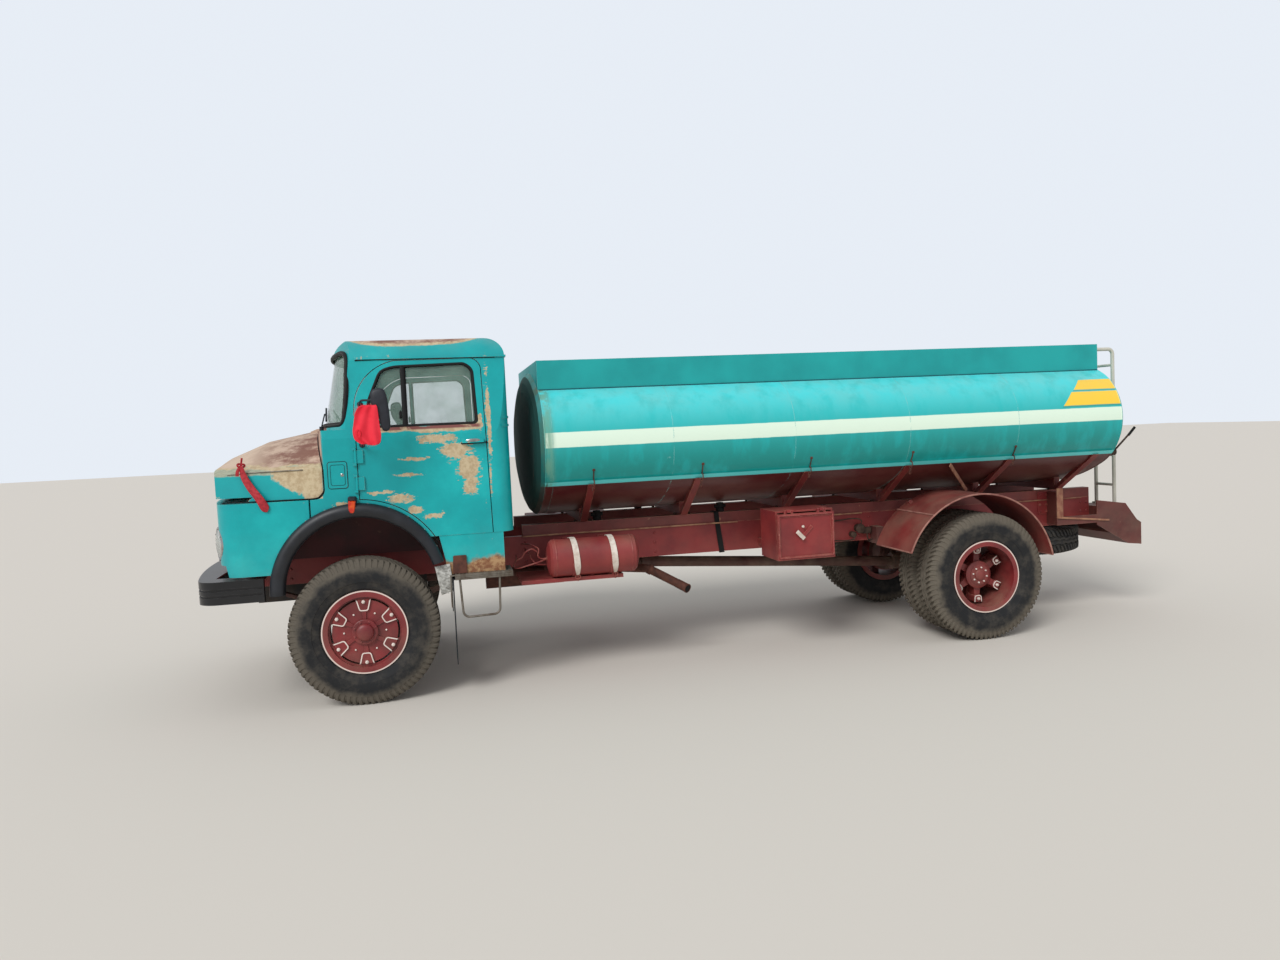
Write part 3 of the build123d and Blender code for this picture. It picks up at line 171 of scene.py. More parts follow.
def makeGroup(name, output, build, **inputs):
    # a node group with one output, worked out by build from the tree and a Field for each input
    tree = bpy.data.node_groups.new(name, "ShaderNodeTree")
    for label, value in inputs.items():
        kind = "NodeSocketVector" if isinstance(value, tuple) else "NodeSocketFloat"
        tree.interface.new_socket(label, in_out="INPUT", socket_type=kind).default_value = value
    tree.interface.new_socket(output, in_out="OUTPUT", socket_type="NodeSocketFloat")
    start, end = tree.nodes.new("NodeGroupInput"), tree.nodes.new("NodeGroupOutput")
    setInputs(end, {0: build(tree, *(Field(start, label) for label in inputs))})
    return tree


def edgeWear(tree, width, amount, grain):
    # 1 where the surface bends within Width, broken up by noise
    rounded = Field(addNode(tree, "ShaderNodeBevel", {"Radius": width}, samples=4))
    bend = 1 - vectorMath("DOT_PRODUCT", rounded, surfaceNormal(tree), output="Value")
    return ramp(bend * ramp(noise(tree, grain, 5), 0.35, 0.6) * amount, 0.02, 0.12)


def paintFlakes(tree, scale, cover, blur, shift):
    # islands of noise: 1 inside, 0 outside, Cover moves the border
    moved = vectorMath("ADD", objectPlace(tree), (7.3, 1.9, 4.1))
    values = {"Vector": moved, "W": shift, "Scale": scale, "Detail": 9, "Roughness": 0.62}
    cloud = Field(addNode(tree, "ShaderNodeTexNoise", values, noise_dimensions="4D"))
    return ((cloud - (1 - cover)) / blur).clamped()


def wornSpot(tree, centre, size, tear, solid):
    # an oval patch about Centre, Size is its half sizes in metres: a solid middle with a torn edge,
    # and specks and short scratches along x that thin out beyond it
    share = vectorMath("DIVIDE", vectorMath("SUBTRACT", objectPlace(tree), centre), size)
    reach = vectorMath("LENGTH", share, output="Value")
    fine = noise(tree, 75, 6, 0.7, mapped(tree, Scale=(0.28, 1, 1)))
    edge = reach + (noise(tree, 11, 12, 0.72) - 0.5) * (tear * 6)
    return highest(ramp(edge, 1.04, 0.92) * solid, ramp(fine * 2.6 - edge * 0.62, 0.62, 0.74))


def roadDust(tree, low, high, amount):
    # dust gathers low on the truck and on faces that look up
    height = ((high - axes(objectPlace(tree))[2]) / (high - low)).clamped()
    up = ramp(axes(surfaceNormal(tree))[2], 0.2, 0.9)
    patchy = (height * 0.75 + up * 0.6) * ramp(noise(tree, 5, 8, 0.6), 0.25, 0.75)
    return (patchy * amount).clamped()


def sheetDents(tree, large, fine):
    # a smooth height from large and fine noise, for beaten sheet metal
    return noise(tree, 2.2, 2) * large + noise(tree, 60, 6) * fine


groups = {
    "edge": makeGroup("edgeWear", "Mask", edgeWear, Width=0.006, Amount=1, Grain=30),
    "flakes": makeGroup("paintFlakes", "Mask", paintFlakes, Scale=6, Cover=0.4, Blur=0.03, Shift=0),
    "spot": makeGroup("wornSpot", "Mask", wornSpot, Centre=(0, 0, 0), Size=(1, 1, 1), Tear=0.5, Solid=1),
    "dust": makeGroup("roadDust", "Mask", roadDust, Low=0.3, High=1.2, Amount=0.6),
    "dents": makeGroup("sheetDents", "Height", sheetDents, Large=1, Fine=0.2),
}
print("shader groups made")


def useGroup(tree, key, **values):
    node = tree.nodes.new("ShaderNodeGroup")
    node.node_tree = groups[key]
    setInputs(node, values)
    return Field(node)


def newMaterial(name):
    material = bpy.data.materials.new(name)
    material.use_nodes = True
    return material, material.node_tree, material.node_tree.nodes["Principled BSDF"]


def finishPaint(shader, colour, roughness, dust, dentHeight, specular=0.5, coat=0):
    # lays road dust (low and high edge in metres, amount) over a colour, then joins colour,
    # roughness and dents to the shader
    tree, (low, high, amount) = shader.id_data, dust
    mask = useGroup(tree, "dust", Low=low, High=high, Amount=amount)
    setInputs(shader, {
        "Base Color": mixColour(mask, colour, linear(176, 158, 132)),
        "Roughness": (roughness + mask * 0.4).clamped(),
        "Normal": bump(useGroup(tree, "dents", Large=dentHeight, Fine=0.05), 0.35, 0.02),
        "Specular IOR Level": specular, "Coat Weight": coat,
    })


# cab paint
cabLook = {
    "paint": linear(0, 172, 174), "deep": linear(0, 152, 156), "pale": linear(34, 194, 192),
    "primer": linear(200, 182, 148), "primerShade": linear(178, 156, 122),
    "rust": linear(128, 86, 74), "pink": linear(200, 174, 154), "nosePink": linear(206, 184, 162),
    "sillRust": linear(128, 76, 72), "footRust": linear(126, 78, 50), "footPale": linear(176, 140, 100),
    # worn patches on the left side: centre (x, z), half width, half height, tear, solid share
    "patches": [(690, 1745, 80, 60, 0.42, 1), (772, 1625, 66, 92, 0.38, 1), (785, 1500, 48, 66, 0.5, 0.9),
                (575, 1832, 120, 26, 0.8, 0.8), (345, 1592, 76, 10, 1, 0.4), (440, 1700, 110, 9, 1.1, 0),
                (298, 1432, 74, 26, 0.9, 0.7), (395, 1342, 46, 24, 0.8, 1), (500, 1298, 66, 18, 0.9, 0.9),
                (-105, 1415, 50, 16, 0.7, 1), (930, 1950, 13, 260, 0.7, 1), (922, 1560, 8, 90, 0.9, 0.6),
                (870, 1950, 14, 60, 0.7, 1), (180, 1480, 70, 12, 1.1, 0.2)],
    # the bare sill under the door window: front, rear, low and high edge
    "sill": (112, 868, 1890, 1935),
    # the bonnet's torn patch: its rear edge, middle height, length and half height
    "bonnetPatch": (-235, 1600, 215, 88),
    "roofMiddle": 440, "roofTop": 2.492, "bonnetTop": 1.675,
}


def sideSpot(tree, x, z, halfWidth, halfHeight, tear, solid):
    centre, size = tuple(toFrame((x, -1075, z))), (halfWidth / 1000, 0.5, halfHeight / 1000)
    return useGroup(tree, "spot", Centre=centre, Size=size, Tear=tear, Solid=solid)


def cabPaint():
    material, tree, shader = newMaterial("cabPaint")
    x, y, z = axes(objectPlace(tree))
    cloud, grain, streak = noise(tree, 1.7, 8, 0.6), noise(tree, 26, 9, 0.7), noise(tree, 4, 12, 0.72)
    sway = streak - 0.5
    colour = mixColour(ramp(cloud, 0.35, 0.7), cabLook["paint"], cabLook["deep"])
    colour = mixColour(ramp(cloud, 0.5, 0.3) * 0.45, colour, cabLook["pale"])
    left = ramp(y, -0.6, -0.75)
    worn = highest(useGroup(tree, "edge", Width=0.004, Amount=0.18, Grain=9),
                   *(sideSpot(tree, *row) * left for row in cabLook["patches"]))
    # the sill under the door window: bare along the whole length, rusty next to the seal
    front, rear, low, high = cabLook["sill"]
    wobble = sway * 0.09
    sill = bandMask(z + wobble, low / 1000, high / 1000, 0.004) * bandMask(x, frameX(front), frameX(rear), 0.02)
    sill = sill * ramp(abs(y), 1.06, 1.07)
    chips = useGroup(tree, "flakes", Scale=16, Cover=0.33, Blur=0.02, Shift=2)
    # the bonnet: a torn bare patch behind, high along the crease and down to the seam at its rear
    backX, middleZ, reachX, reachZ = cabLook["bonnetPatch"]
    fromRear = (frameX(backX) - x) / (reachX / 500)
    below = ((middleZ + reachZ) / 1000 - z) / (2 * reachZ / 1000)
    ahead = ramp(x, -3.000, -3.004)
    torn = ramp(fromRear + below * 0.55 + sway * 1.3, 0.98, 0.88)
    bonnetSide = torn * bandMask(z, 1.462, 1.69, 0.004) * ahead * left
    crease = bandMask(z + wobble * 0.5, 1.64, 1.70, 0.006) * ahead
    worn = highest(worn, sill, chips * 0.8, bonnetSide, crease * 0.7)
    # the roof's crown and the bonnet's top are bare: brown metal inside a torn pale rim
    along = abs(x - frameX(cabLook["roofMiddle"])) * 2
    roofEdge = (z - cabLook["roofTop"]) * 12 - along ** 4 + sway * 0.5
    bonnetTop = (z - cabLook["bonnetTop"]) * 14 + sway * 2.2
    isBonnet = ahead * ramp(z, 2.2, 2.1)
    bare = bonnetTop * isBonnet + roofEdge * ramp(z, 2.3, 2.4)
    rim = ramp(bare, 0, 0.12)
    core = ramp(bare + (grain - 0.5) * 0.6, 0.18, 0.42)
    rustTone = mixColour(ramp(streak, 0.42, 0.60), cabLook["rust"], cabLook["pink"])
    primerTone = mixColour(ramp(grain, 0.4, 0.62), cabLook["primer"], cabLook["primerShade"])
    colour = mixColour(highest(worn, rim), colour, primerTone)
    # the bonnet's nose is paler: the pink tone gains there
    nose = isBonnet * ramp(x + wobble * 4, -3.30, -3.55)
    colour = mixColour(core, colour, mixColour(nose * 0.75, rustTone, cabLook["nosePink"]))
    rusty = bandMask(z, 1.905, 1.93, 0.006) * sill * ramp(streak, 0.40, 0.5)
    colour = mixColour(rusty, colour, cabLook["sillRust"])
    # rust gathers at the foot of the apron behind the wheel
    low = ramp(z + sway * 0.30, 0.99, 0.93) * ramp(x, -2.3, -2.2)
    footTone = mixColour(ramp(grain, 0.4, 0.6), cabLook["footRust"], cabLook["footPale"])
    colour = mixColour(low, colour, footTone)
    finishPaint(shader, colour, highest(worn, rim, low) * 0.36 + 0.36, (0.5, 1.3, 0.22), 0.8, 0.4)
    return material


# tank paint
tankLook = {
    "top": linear(74, 218, 222), "middle": linear(10, 184, 184), "low": linear(0, 148, 143),
    "lip": linear(96, 222, 222), "belly": linear(82, 27, 30), "stripe": linear(226, 246, 226),
    "yellow": linear(250, 206, 62), "blockShade": linear(60, 130, 110), "head": linear(12, 58, 54),
    "rim": linear(104, 158, 134), "rusty": linear(104, 62, 46), "worn": linear(120, 190, 186),
    "stripeLow": 1726, "stripeHigh": 1837, "stripeFront": 1328, "stripeRear": 6174, "bellyTop": 1440,
    # yellow blocks: low and high edge, front edge at the low and at the high edge
    "blocks": ((1862, 1974, 5629, 5740), (1992, 2075, 5770, 5871)), "blockRear": 6174,
}


def tankPaint():
    material, tree, shader = newMaterial("tankPaint")
    x, y, z = axes(objectPlace(tree))
    drip = noise(tree, 3, 8, 0.6, mapped(tree, Scale=(3, 3, 0.6)))
    # paler towards the top and darker low down: painted light and shade over the teal
    colour = mixColour(ramp(z, 1.55, 2.2), tankLook["low"], tankLook["top"])
    colour = mixColour(ramp(drip, 0.45, 0.7) * 0.5, colour, tankLook["middle"])
    height = z + (drip - 0.5) * 0.006
    stripe = bandMask(height, tankLook["stripeLow"] / 1000, tankLook["stripeHigh"] / 1000, 0.003)
    along = bandMask(x, frameX(tankLook["stripeFront"]), frameX(tankLook["stripeRear"]), 0.004)
    colour = mixColour(stripe * ramp(abs(y), 0.80, 0.82) * along, colour, tankLook["stripe"])
    # two yellow blocks behind: the front edge slants with the height, a dark line runs under each
    rear = tankLook["blockRear"]
    for low, high, lowStart, highStart in tankLook["blocks"]:
        slant = x - (z - low / 1000) * ((highStart - lowStart) / (high - low))
        across = bandMask(slant, frameX(lowStart), frameX(rear + 300), 0.004) * ramp(abs(y), 0.70, 0.72)
        across = across * ramp(x, frameX(rear), frameX(rear - 8))
        shade = bandMask(height, (low - 14) / 1000, low / 1000, 0.003) * across * 0.6
        colour = mixColour(shade, colour, tankLook["blockShade"])
        colour = mixColour(bandMask(height, low / 1000, high / 1000, 0.003) * across, colour,
                           tankLook["yellow"])
    # a paler band along the side strip's top edge: a painted highlight
    lip = bandMask(z, 1.438, 1.470, 0.002) * ramp(abs(y), 0.925, 0.93)
    colour = mixColour(lip * 0.85, colour, tankLook["lip"])
    # the front rim: pale green with rusty runs, within 80 mm of the tank's end
    rim = ramp(x, frameX(1420), frameX(1350)) * ramp(drip, 0.40, 0.56)
    colour = mixColour(rim * 0.8, colour, tankLook["rim"])
    belly = ramp(height, tankLook["bellyTop"] / 1000 + 0.004, tankLook["bellyTop"] / 1000 - 0.004)
    colour = mixColour(belly, colour, tankLook["belly"])
    # the front head is darker where it faces forward, as painted shade, with rusty runs over its rim
    ahead = ramp(axes(surfaceNormal(tree))[0], -0.5, -0.8) * ramp(x, -1.3, -1.4)
    colour = mixColour(ahead, colour, tankLook["head"])
    runs = ramp(x, frameX(1400), frameX(1320)) * ramp(drip, 0.60, 0.66)
    colour = mixColour(runs * 0.8, colour, tankLook["rusty"])
    chips = useGroup(tree, "flakes", Scale=11, Cover=0.29, Blur=0.02, Shift=5)
    worn = highest(useGroup(tree, "edge", Width=0.008, Amount=0.35, Grain=12), chips * 0.7)
    colour = mixColour(worn, colour, tankLook["worn"])
    finishPaint(shader, colour, highest(worn, ahead) * 0.4 + 0.34, (1.1, 1.5, 0.35), 1)
    return material


def coamingPaint():
    material, tree, shader = newMaterial("coamingPaint")
    colour = mixColour(ramp(noise(tree, 2.4, 7), 0.35, 0.7), linear(14, 166, 164), linear(2, 148, 148))
    worn = useGroup(tree, "edge", Width=0.008, Amount=0.8, Grain=18)
    finishPaint(shader, mixColour(worn, colour, linear(110, 180, 176)), 0.38, (1.9, 2, 0.3), 0.8)
    return material


# chassis paint and plain metals
def wornPaint(name, base, shade, under, edge, dustHigh, dust, roughness=0.5, chipCover=0.36, dents=0.5):
    # one paint with lighter worn edges, chips and road dust; colours are as a screen shows them
    material, tree, shader = newMaterial(name)
    colour = mixColour(ramp(noise(tree, 3.3, 7, 0.6), 0.3, 0.7), linear(*base), linear(*shade))
    chips = useGroup(tree, "flakes", Scale=14, Cover=chipCover, Blur=0.03, Shift=1)
    worn = highest(useGroup(tree, "edge", Width=0.006, Amount=edge, Grain=22), chips * 0.7)
    colour = mixColour(worn, colour, linear(*under))
    finishPaint(shader, colour, worn * 0.25 + roughness, (dustHigh - 0.8, dustHigh, dust), dents)
    return material


wheelLook = {
    "paint": linear(132, 38, 42), "shade": linear(102, 28, 33), "worn": linear(160, 84, 80),
    "ring": linear(226, 206, 196), "ringInner": 283, "ringOuter": 293,
    "tyre": linear(30, 31, 33), "tyreDust": linear(104, 97, 86),
}


def aboutAxle(tree, x, y):
    # the place seen from a wheel's centre, and the distance from its axle
    centre = mapped(tree, Location=tuple(-toFrame((x, y, tyreRadius))))
    return centre, vectorMath("LENGTH", vectorMath("MULTIPLY", centre, (1, 0, 1)), output="Value")


def wheelPaint(name, x, y):
    # maroon, with a white line on the flange's outer face
    material, tree, shader = newMaterial(name)
    centre, reach = aboutAxle(tree, x, y)
    outward = axes(centre)[1] * math.copysign(1, y)
    ring = bandMask(reach, wheelLook["ringInner"] / 1000, wheelLook["ringOuter"] / 1000, 0.001)
    colour = mixColour(ramp(noise(tree, 7, 6), 0.3, 0.7), wheelLook["paint"], wheelLook["shade"])
    worn = useGroup(tree, "edge", Width=0.004, Amount=0.5, Grain=30)
    colour = mixColour(worn, colour, wheelLook["worn"])
    colour = mixColour(ring * ramp(outward, 0.101, 0.103), colour, wheelLook["ring"])
    finishPaint(shader, colour, 0.42, (0, 1, 0.3), 0.3)
    return material


def tyreRubber(name, x, y, dusty):
    # dark sidewall, dusty brown tread: dust grows from the shoulder outwards
    material, tree, shader = newMaterial(name)
    cloud = noise(tree, 11, 9, 0.65)
    torn = aboutAxle(tree, x, y)[1] + (cloud - 0.5) * 0.12
    mask = highest(ramp(torn, 0.40, 0.47) * dusty, ramp(cloud, 0.40, 0.75) * 0.35)
    setInputs(shader, {
        "Base Color": mixColour(mask, wheelLook["tyre"], wheelLook["tyreDust"]),
        "Roughness": mask * 0.3 + 0.62, "Normal": bump(noise(tree, 90, 5), 0.3, 0.003),
        "Specular IOR Level": 0.3,
    })
    return material


def plainFinish(name, colour, second, roughness, metallic=0, scale=20, depth=0.0006, specular=0.5, coat=0):
    # two close tones, as a screen shows them, in fine noise with a matching bump
    material, tree, shader = newMaterial(name)
    cloud = noise(tree, scale, 7, 0.6)
    setInputs(shader, {
        "Base Color": mixColour(ramp(cloud, 0.35, 0.7), linear(*colour), linear(*second)),
        "Roughness": ramp(cloud, 0.2, 0.8, roughness - 0.08, roughness + 0.12),
        "Normal": bump(cloud, 0.5, depth),
        "Metallic": metallic, "Specular IOR Level": specular, "Coat Weight": coat,
    })
    return material


def glassFinish(name, tint, roughness, coverage):
    # thin glass: see-through and reflecting, with dust that clouds it in places
    material, tree, shader = newMaterial(name)
    cloud = noise(tree, 6, 8)
    setInputs(shader, {
        "Roughness": ramp(cloud, 0.3, 0.8, roughness, roughness + 0.12),
        "Alpha": ramp(cloud, 0.3, 0.8, coverage, coverage + 0.15),
        "Base Color": linear(*tint), "Specular IOR Level": 0.8, "Coat Weight": 0.6,
    })
    material.surface_render_method = "BLENDED"
    return material


# key: the material's name, paint, its shade, what shows where it is worn, edge wear, height and
# amount of road dust, then what differs from the usual
wornLooks = {
    "chassis": ("chassisPaint", (142, 46, 46), (116, 35, 38), (182, 120, 100), 0.55, 1.1, 0.26,
                {"chipCover": 0.29}),
    "guard": ("guardPaint", (130, 48, 46), (100, 38, 36), (170, 118, 102), 0.7, 1.2, 0.3, {"chipCover": 0.31}),
    "tray": ("trayPaint", (104, 46, 42), (76, 32, 30), (150, 104, 88), 0.7, 1.2, 0.3, {"chipCover": 0.34}),
    "toolEdge": ("toolboxEdge", (150, 62, 58), (126, 46, 46), (196, 140, 122), 0.6, 1.1, 0.2,
                 {"chipCover": 0.38}),
    "bearer": ("bearerPaint", (136, 56, 52), (104, 38, 38), (176, 126, 98), 1.1, 1.3, 0.35, {}),
    "running": ("runningGear", (84, 30, 32), (58, 26, 26), (110, 80, 66), 0.5, 1, 0.7, {"roughness": 0.6}),
    "bumper": ("bumperPaint", (13, 14, 17), (20, 22, 26), (84, 84, 88), 0.2, 0.9, 0.10,
               {"roughness": 0.28, "chipCover": 0.28, "dents": 0.3}),
    "ladder": ("ladderPaint", (206, 204, 190), (180, 178, 166), (120, 84, 66), 0.5, 1.2, 0.3, {}),
}
# key: the material's name, its two tones, roughness, then what differs from the usual
plainLooks = {
    "seamShade": ("seamShade", (0, 74, 82), (0, 92, 98), 0.7, {}),
    "paleEdge": ("paleGuardEdge", (168, 122, 108), (128, 74, 68), 0.7, {"scale": 10}),
    "tanMetal": ("tanMetal", (172, 128, 98), (138, 84, 70), 0.75, {"scale": 14}),
    "tread": ("treadPlate", (196, 196, 190), (120, 118, 112), 0.6, {"scale": 30}),
    "engine": ("engineMetal", (52, 50, 50), (78, 70, 62), 0.55, {"metallic": 0.3}),
    "rubber": ("blackRubber", (15, 18, 24), (27, 31, 38), 0.44, {"scale": 9}),
    "agedRubber": ("agedRubber", (64, 62, 60), (92, 88, 82), 0.6, {}),
    "card": ("doorCard", (58, 52, 48), (76, 68, 60), 0.6, {"scale": 50}),
    "seal": ("sealRubber", (9, 9, 10), (20, 20, 21), 0.62, {"specular": 0.3}),
    "plastic": ("blackPlastic", (20, 23, 32), (30, 34, 44), 0.5, {"scale": 30}),
    "chrome": ("dullChrome", (190, 190, 190), (150, 146, 140), 0.22, {"metallic": 1}),
    "step": ("stepMetal", (132, 126, 116), (96, 84, 72), 0.5, {"metallic": 0.6}),
    "exhaust": ("rustyPipe", (104, 62, 48), (70, 46, 40), 0.75, {"metallic": 0.3, "scale": 14}),
    "soot": ("soot", (10, 9, 9), (18, 17, 16), 0.9, {}),
    "valve": ("valveIron", (84, 66, 54), (60, 44, 38), 0.7, {"metallic": 0.4}),
    "amber": ("amberLens", (176, 70, 24), (150, 48, 20), 0.2, {"scale": 60, "coat": 0.5}),
    "amberRed": ("amberRedLens", (196, 40, 22), (226, 92, 20), 0.2, {"scale": 22}),
    "whiteMark": ("whitePaint", (232, 220, 210), (210, 196, 186), 0.5, {}),
    "strap": ("strapPaint", (226, 216, 204), (196, 180, 166), 0.5, {}),
    "seat": ("seatCover", (44, 38, 36), (62, 54, 48), 0.5, {"scale": 45, "depth": 0.001}),
    "redCloth": ("redCloth", (238, 42, 62), (222, 30, 50), 0.8, {"scale": 9}),
    "ribbon": ("darkRedRibbon", (176, 28, 40), (140, 18, 28), 0.7, {"scale": 60}),
    "mirror": ("mirrorGlass", (200, 204, 206), (190, 194, 198), 0.05, {"metallic": 1}),
    "tyre_spare": ("spareRubber", (26, 26, 28), (60, 56, 50), 0.75, {}),
}
looks = {
    "cab": cabPaint(), "tank": tankPaint(), "coaming": coamingPaint(),
    "glass": glassFinish("windowGlass", (150, 180, 165), 0.04, 0.16),
    "screen": glassFinish("screenGlass", (110, 160, 130), 0.05, 0.34),
    "lens": glassFinish("lensGlass", (210, 214, 208), 0.06, 0.45),
}
for table, finish in ((wornLooks, wornPaint), (plainLooks, plainFinish)):
    for key, (*values, usual) in table.items():
        looks[key] = finish(*values, **usual)
wheels = {
    "front_left": (0, -990), "front_right": (0, 990),
    "rear_left": (wheelbase, -1005), "rear_right": (wheelbase, 1005),
}
for key, (x, y) in wheels.items():
    looks["wheel_" + key] = wheelPaint("wheelPaint_" + key, x, y)
    looks["tyre_" + key] = tyreRubber("tyreRubber_" + key, x, y, 0.8 if "front" in key else 0.95)
print("materials made:", len(looks))

# each finish and the CAD nodes that wear it
finishNodes = {
    "chassis": "frame side_cylinder side_carrier fuel_tank toolbox toolbox_door",
    "bearer": "tank_bearers",
    "tank": "tank_shell",
    "coaming": "coaming manhole_lid",
    "running": "front_axle rear_axle leaf_springs knuckle_left knuckle_right tie_rod propshaft "
               "wheelhouses spare_carrier",
    "engine": "engine",
    "cab": "front_wings bonnet grille cab_body cab_roof door_left door_right",
    "lens": "headlamps",
    "rubber": "arch_flares mudflaps",
    "bumper": "front_bumper",
    "glass": "door_glass_left door_glass_right",
    "plastic": "mirror_left mirror_right dashboard steering_wheel wipers",
    "screen": "cab_glass",
    "seat": "seats",
    "step": "cab_steps",
    "exhaust": "exhaust",
    "guard": "rear_mudguards",
    "tyre_spare": "spare_tyre",
    "tray": "rear_tray",
    "ladder": "ladder",
    "valve": "outlet_valve",
    "amber": "lamps_small",
    "redCloth": "mirror_cloth",
    "ribbon": "bonnet_ribbon",
}
nodeLooks = {node: look for look, names in finishNodes.items() for node in names.split()}
plural = {"front": "", "rear": "s"}  # the rear wheels are twins
for key in wheels:
    end, side = key.split("_")
    nodeLooks[f"{end}_rim{plural[end]}_{side}"] = f"wheel_{key}"
    nodeLooks[f"{end}_tyre{plural[end]}_{side}"] = f"tyre_{key}"
for node, look in nodeLooks.items():
    nodes[node].data.materials.clear()
    nodes[node].data.materials.append(looks[look])
print("CAD nodes painted:", len(nodeLooks))


# mesh helpers
def meshPiece(name, shape, look, body="chassis", sharp=35, closed=True):
    # shape is points in millimetres and faces as index rows; doubles are merged
    points, faces = shape
    mesh = bpy.data.meshes.new(name)
    mesh.from_pydata(toFrame(points).tolist(), [], [list(face) for face in faces])
    work = bmesh.new()
    work.from_mesh(mesh)
    bmesh.ops.remove_doubles(work, verts=work.verts, dist=0.00002)
    if closed:
        bmesh.ops.recalc_face_normals(work, faces=work.faces)
    work.to_mesh(mesh)
    work.free()
    mesh.polygons.foreach_set("use_smooth", np.full(len(mesh.polygons), True))
    mesh.set_sharp_from_angle(angle=math.radians(sharp))
    mesh.materials.append(looks[look])
    piece = bpy.data.objects.new(name, mesh)
    bpy.context.scene.collection.objects.link(piece)
    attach(piece, body)
    return piece


def gridFaces(rows, columns, closeRows=False, closeColumns=False):
    # quads between neighbouring points of a rows by columns grid, wrapped round where closed
    row = np.arange(rows if closeRows else rows - 1)
    column = np.arange(columns if closeColumns else columns - 1)
    a, b = np.meshgrid(row, column, indexing="ij")
    c, d = (a + 1) % rows, (b + 1) % columns
    return together(a * columns + b, a * columns + d, c * columns + d, c * columns + b).reshape(-1, 4).tolist()


def tubeFaces(rings, count):
    # quads between rings of count points, and one flat face at each end
    last = (rings - 1) * count
    ends = [list(range(count)), [last + index for index in range(count)][::-1]]
    return gridFaces(rings, count, False, True) + ends


def joinShapes(*shapes):
    offset, allPoints, allFaces = 0, [], []
    for points, faces in shapes:
        allPoints.append(np.asarray(points, float))
        allFaces.extend([[index + offset for index in face] for face in faces])
        offset += len(points)
    return np.concatenate(allPoints), allFaces


def together(*parts):
    # coordinates side by side in a new last axis; a single number is spread over the others
    return np.stack(np.broadcast_arrays(*parts), -1)


def unit(vectors):
    vectors = np.asarray(vectors, float)
    return vectors / np.linalg.norm(vectors, axis=-1, keepdims=True)


def sweep(path, outward, section, closed=False):
    # a closed section of (side, out) offsets, or one for each point, carried along a path: side is
    # the path's direction times outward, out is outward made square to the path
    path = np.asarray(path, float)
    along = unit(np.roll(path, -1, 0) - np.roll(path, 1, 0) if closed else np.gradient(path, axis=0))
    outward = np.broadcast_to(np.asarray(outward, float), path.shape)
    outward = unit(outward - (outward * along).sum(1, keepdims=True) * along)
    side = np.cross(along, outward)
    section = np.asarray(section, float)
    if section.ndim == 2:
        section = section[None]
    points = path[:, None] + side[:, None] * section[..., :1] + outward[:, None] * section[..., 1:]
    rings, count = points.shape[:2]
    return points.reshape(-1, 3), gridFaces(rings, count, True, True) if closed else tubeFaces(rings, count)


def bandSections(widths, low, high):
    # a flat four-cornered section for each width in turn
    half = np.asarray(widths, float)[:, None] / 2
    corners = np.array([(-1, low), (1, low), (1, high), (-1, high)], float)
    return together(half * corners[None, :, 0], np.broadcast_to(corners[None, :, 1], (len(half), 4)))


def around(count):
    # count equal steps round a circle, in radians
    return np.arange(count) * 2 * math.pi / count


def circle(radius, sides=8, squash=1.0):
    # a round section, its height times squash
    turn = around(sides)
    return together(radius * np.cos(turn), radius * squash * np.sin(turn))


def slab(width, low, high, edge=1.0):
    # a flat section from low to high, its upper corners cut by edge
    half, shoulder = width / 2, high - edge
    return np.array([(-half, low), (half, low), (half, shoulder), (half - edge, high), (edge - half, high),
                     (-half, shoulder)])


def turned(profile, sides=24, start=0.0):
    # a (radius, height) profile turned about z, closed at the poles or by flat ends
    profile = np.asarray(profile, float)
    turn = start + around(sides)
    ring = together(np.cos(turn), np.sin(turn))
    flat = profile[None, :, :1] * ring[:, None]
    points = np.concatenate([flat, np.broadcast_to(profile[None, :, 1:], (sides, len(profile), 1))], -1)
    faces = gridFaces(sides, len(profile), True, False)
    for column, radius in ((0, profile[0, 0]), (len(profile) - 1, profile[-1, 0])):
        if radius > 0:
            faces.append([row * len(profile) + column for row in range(sides)])
    return points.reshape(-1, 3), faces


def facing(direction):
    # the 3 by 3 turn that takes z to the direction
    z = unit(direction)
    x = unit(np.cross((0, 0, 1) if abs(z[2]) < 0.9 else (1, 0, 0), z))
    return np.stack([x, np.cross(z, x), z], 1)


def spun(axis, degrees):
    return np.array(Matrix.Rotation(math.radians(degrees), 3, axis))


def copies(shape, places, turns=None):
    # the shape at each place, turned by one 3 by 3 matrix for each where turns are given
    points, faces = shape
    places = np.asarray(places, float)
    if turns is None:
        laid = np.broadcast_to(points, (len(places), *np.shape(points)))
    else:
        laid = np.einsum("nij,kj->nki", np.broadcast_to(turns, (len(places), 3, 3)), points)
    steps = range(0, len(places) * len(points), len(points))
    allFaces = [[index + step for index in face] for step in steps for face in faces]
    return (laid + places[:, None]).reshape(-1, 3), allFaces


def mirrored(shape):
    # the same shape on the truck's other side
    points, faces = shape
    return np.asarray(points) * (1, -1, 1), [face[::-1] for face in faces]


def bothSides(shape):
    return joinShapes(shape, mirrored(shape))


def forSide(side, shape):
    # a shape drawn for the left, as it is or mirrored to the right
    return shape if side == "left" else mirrored(shape)


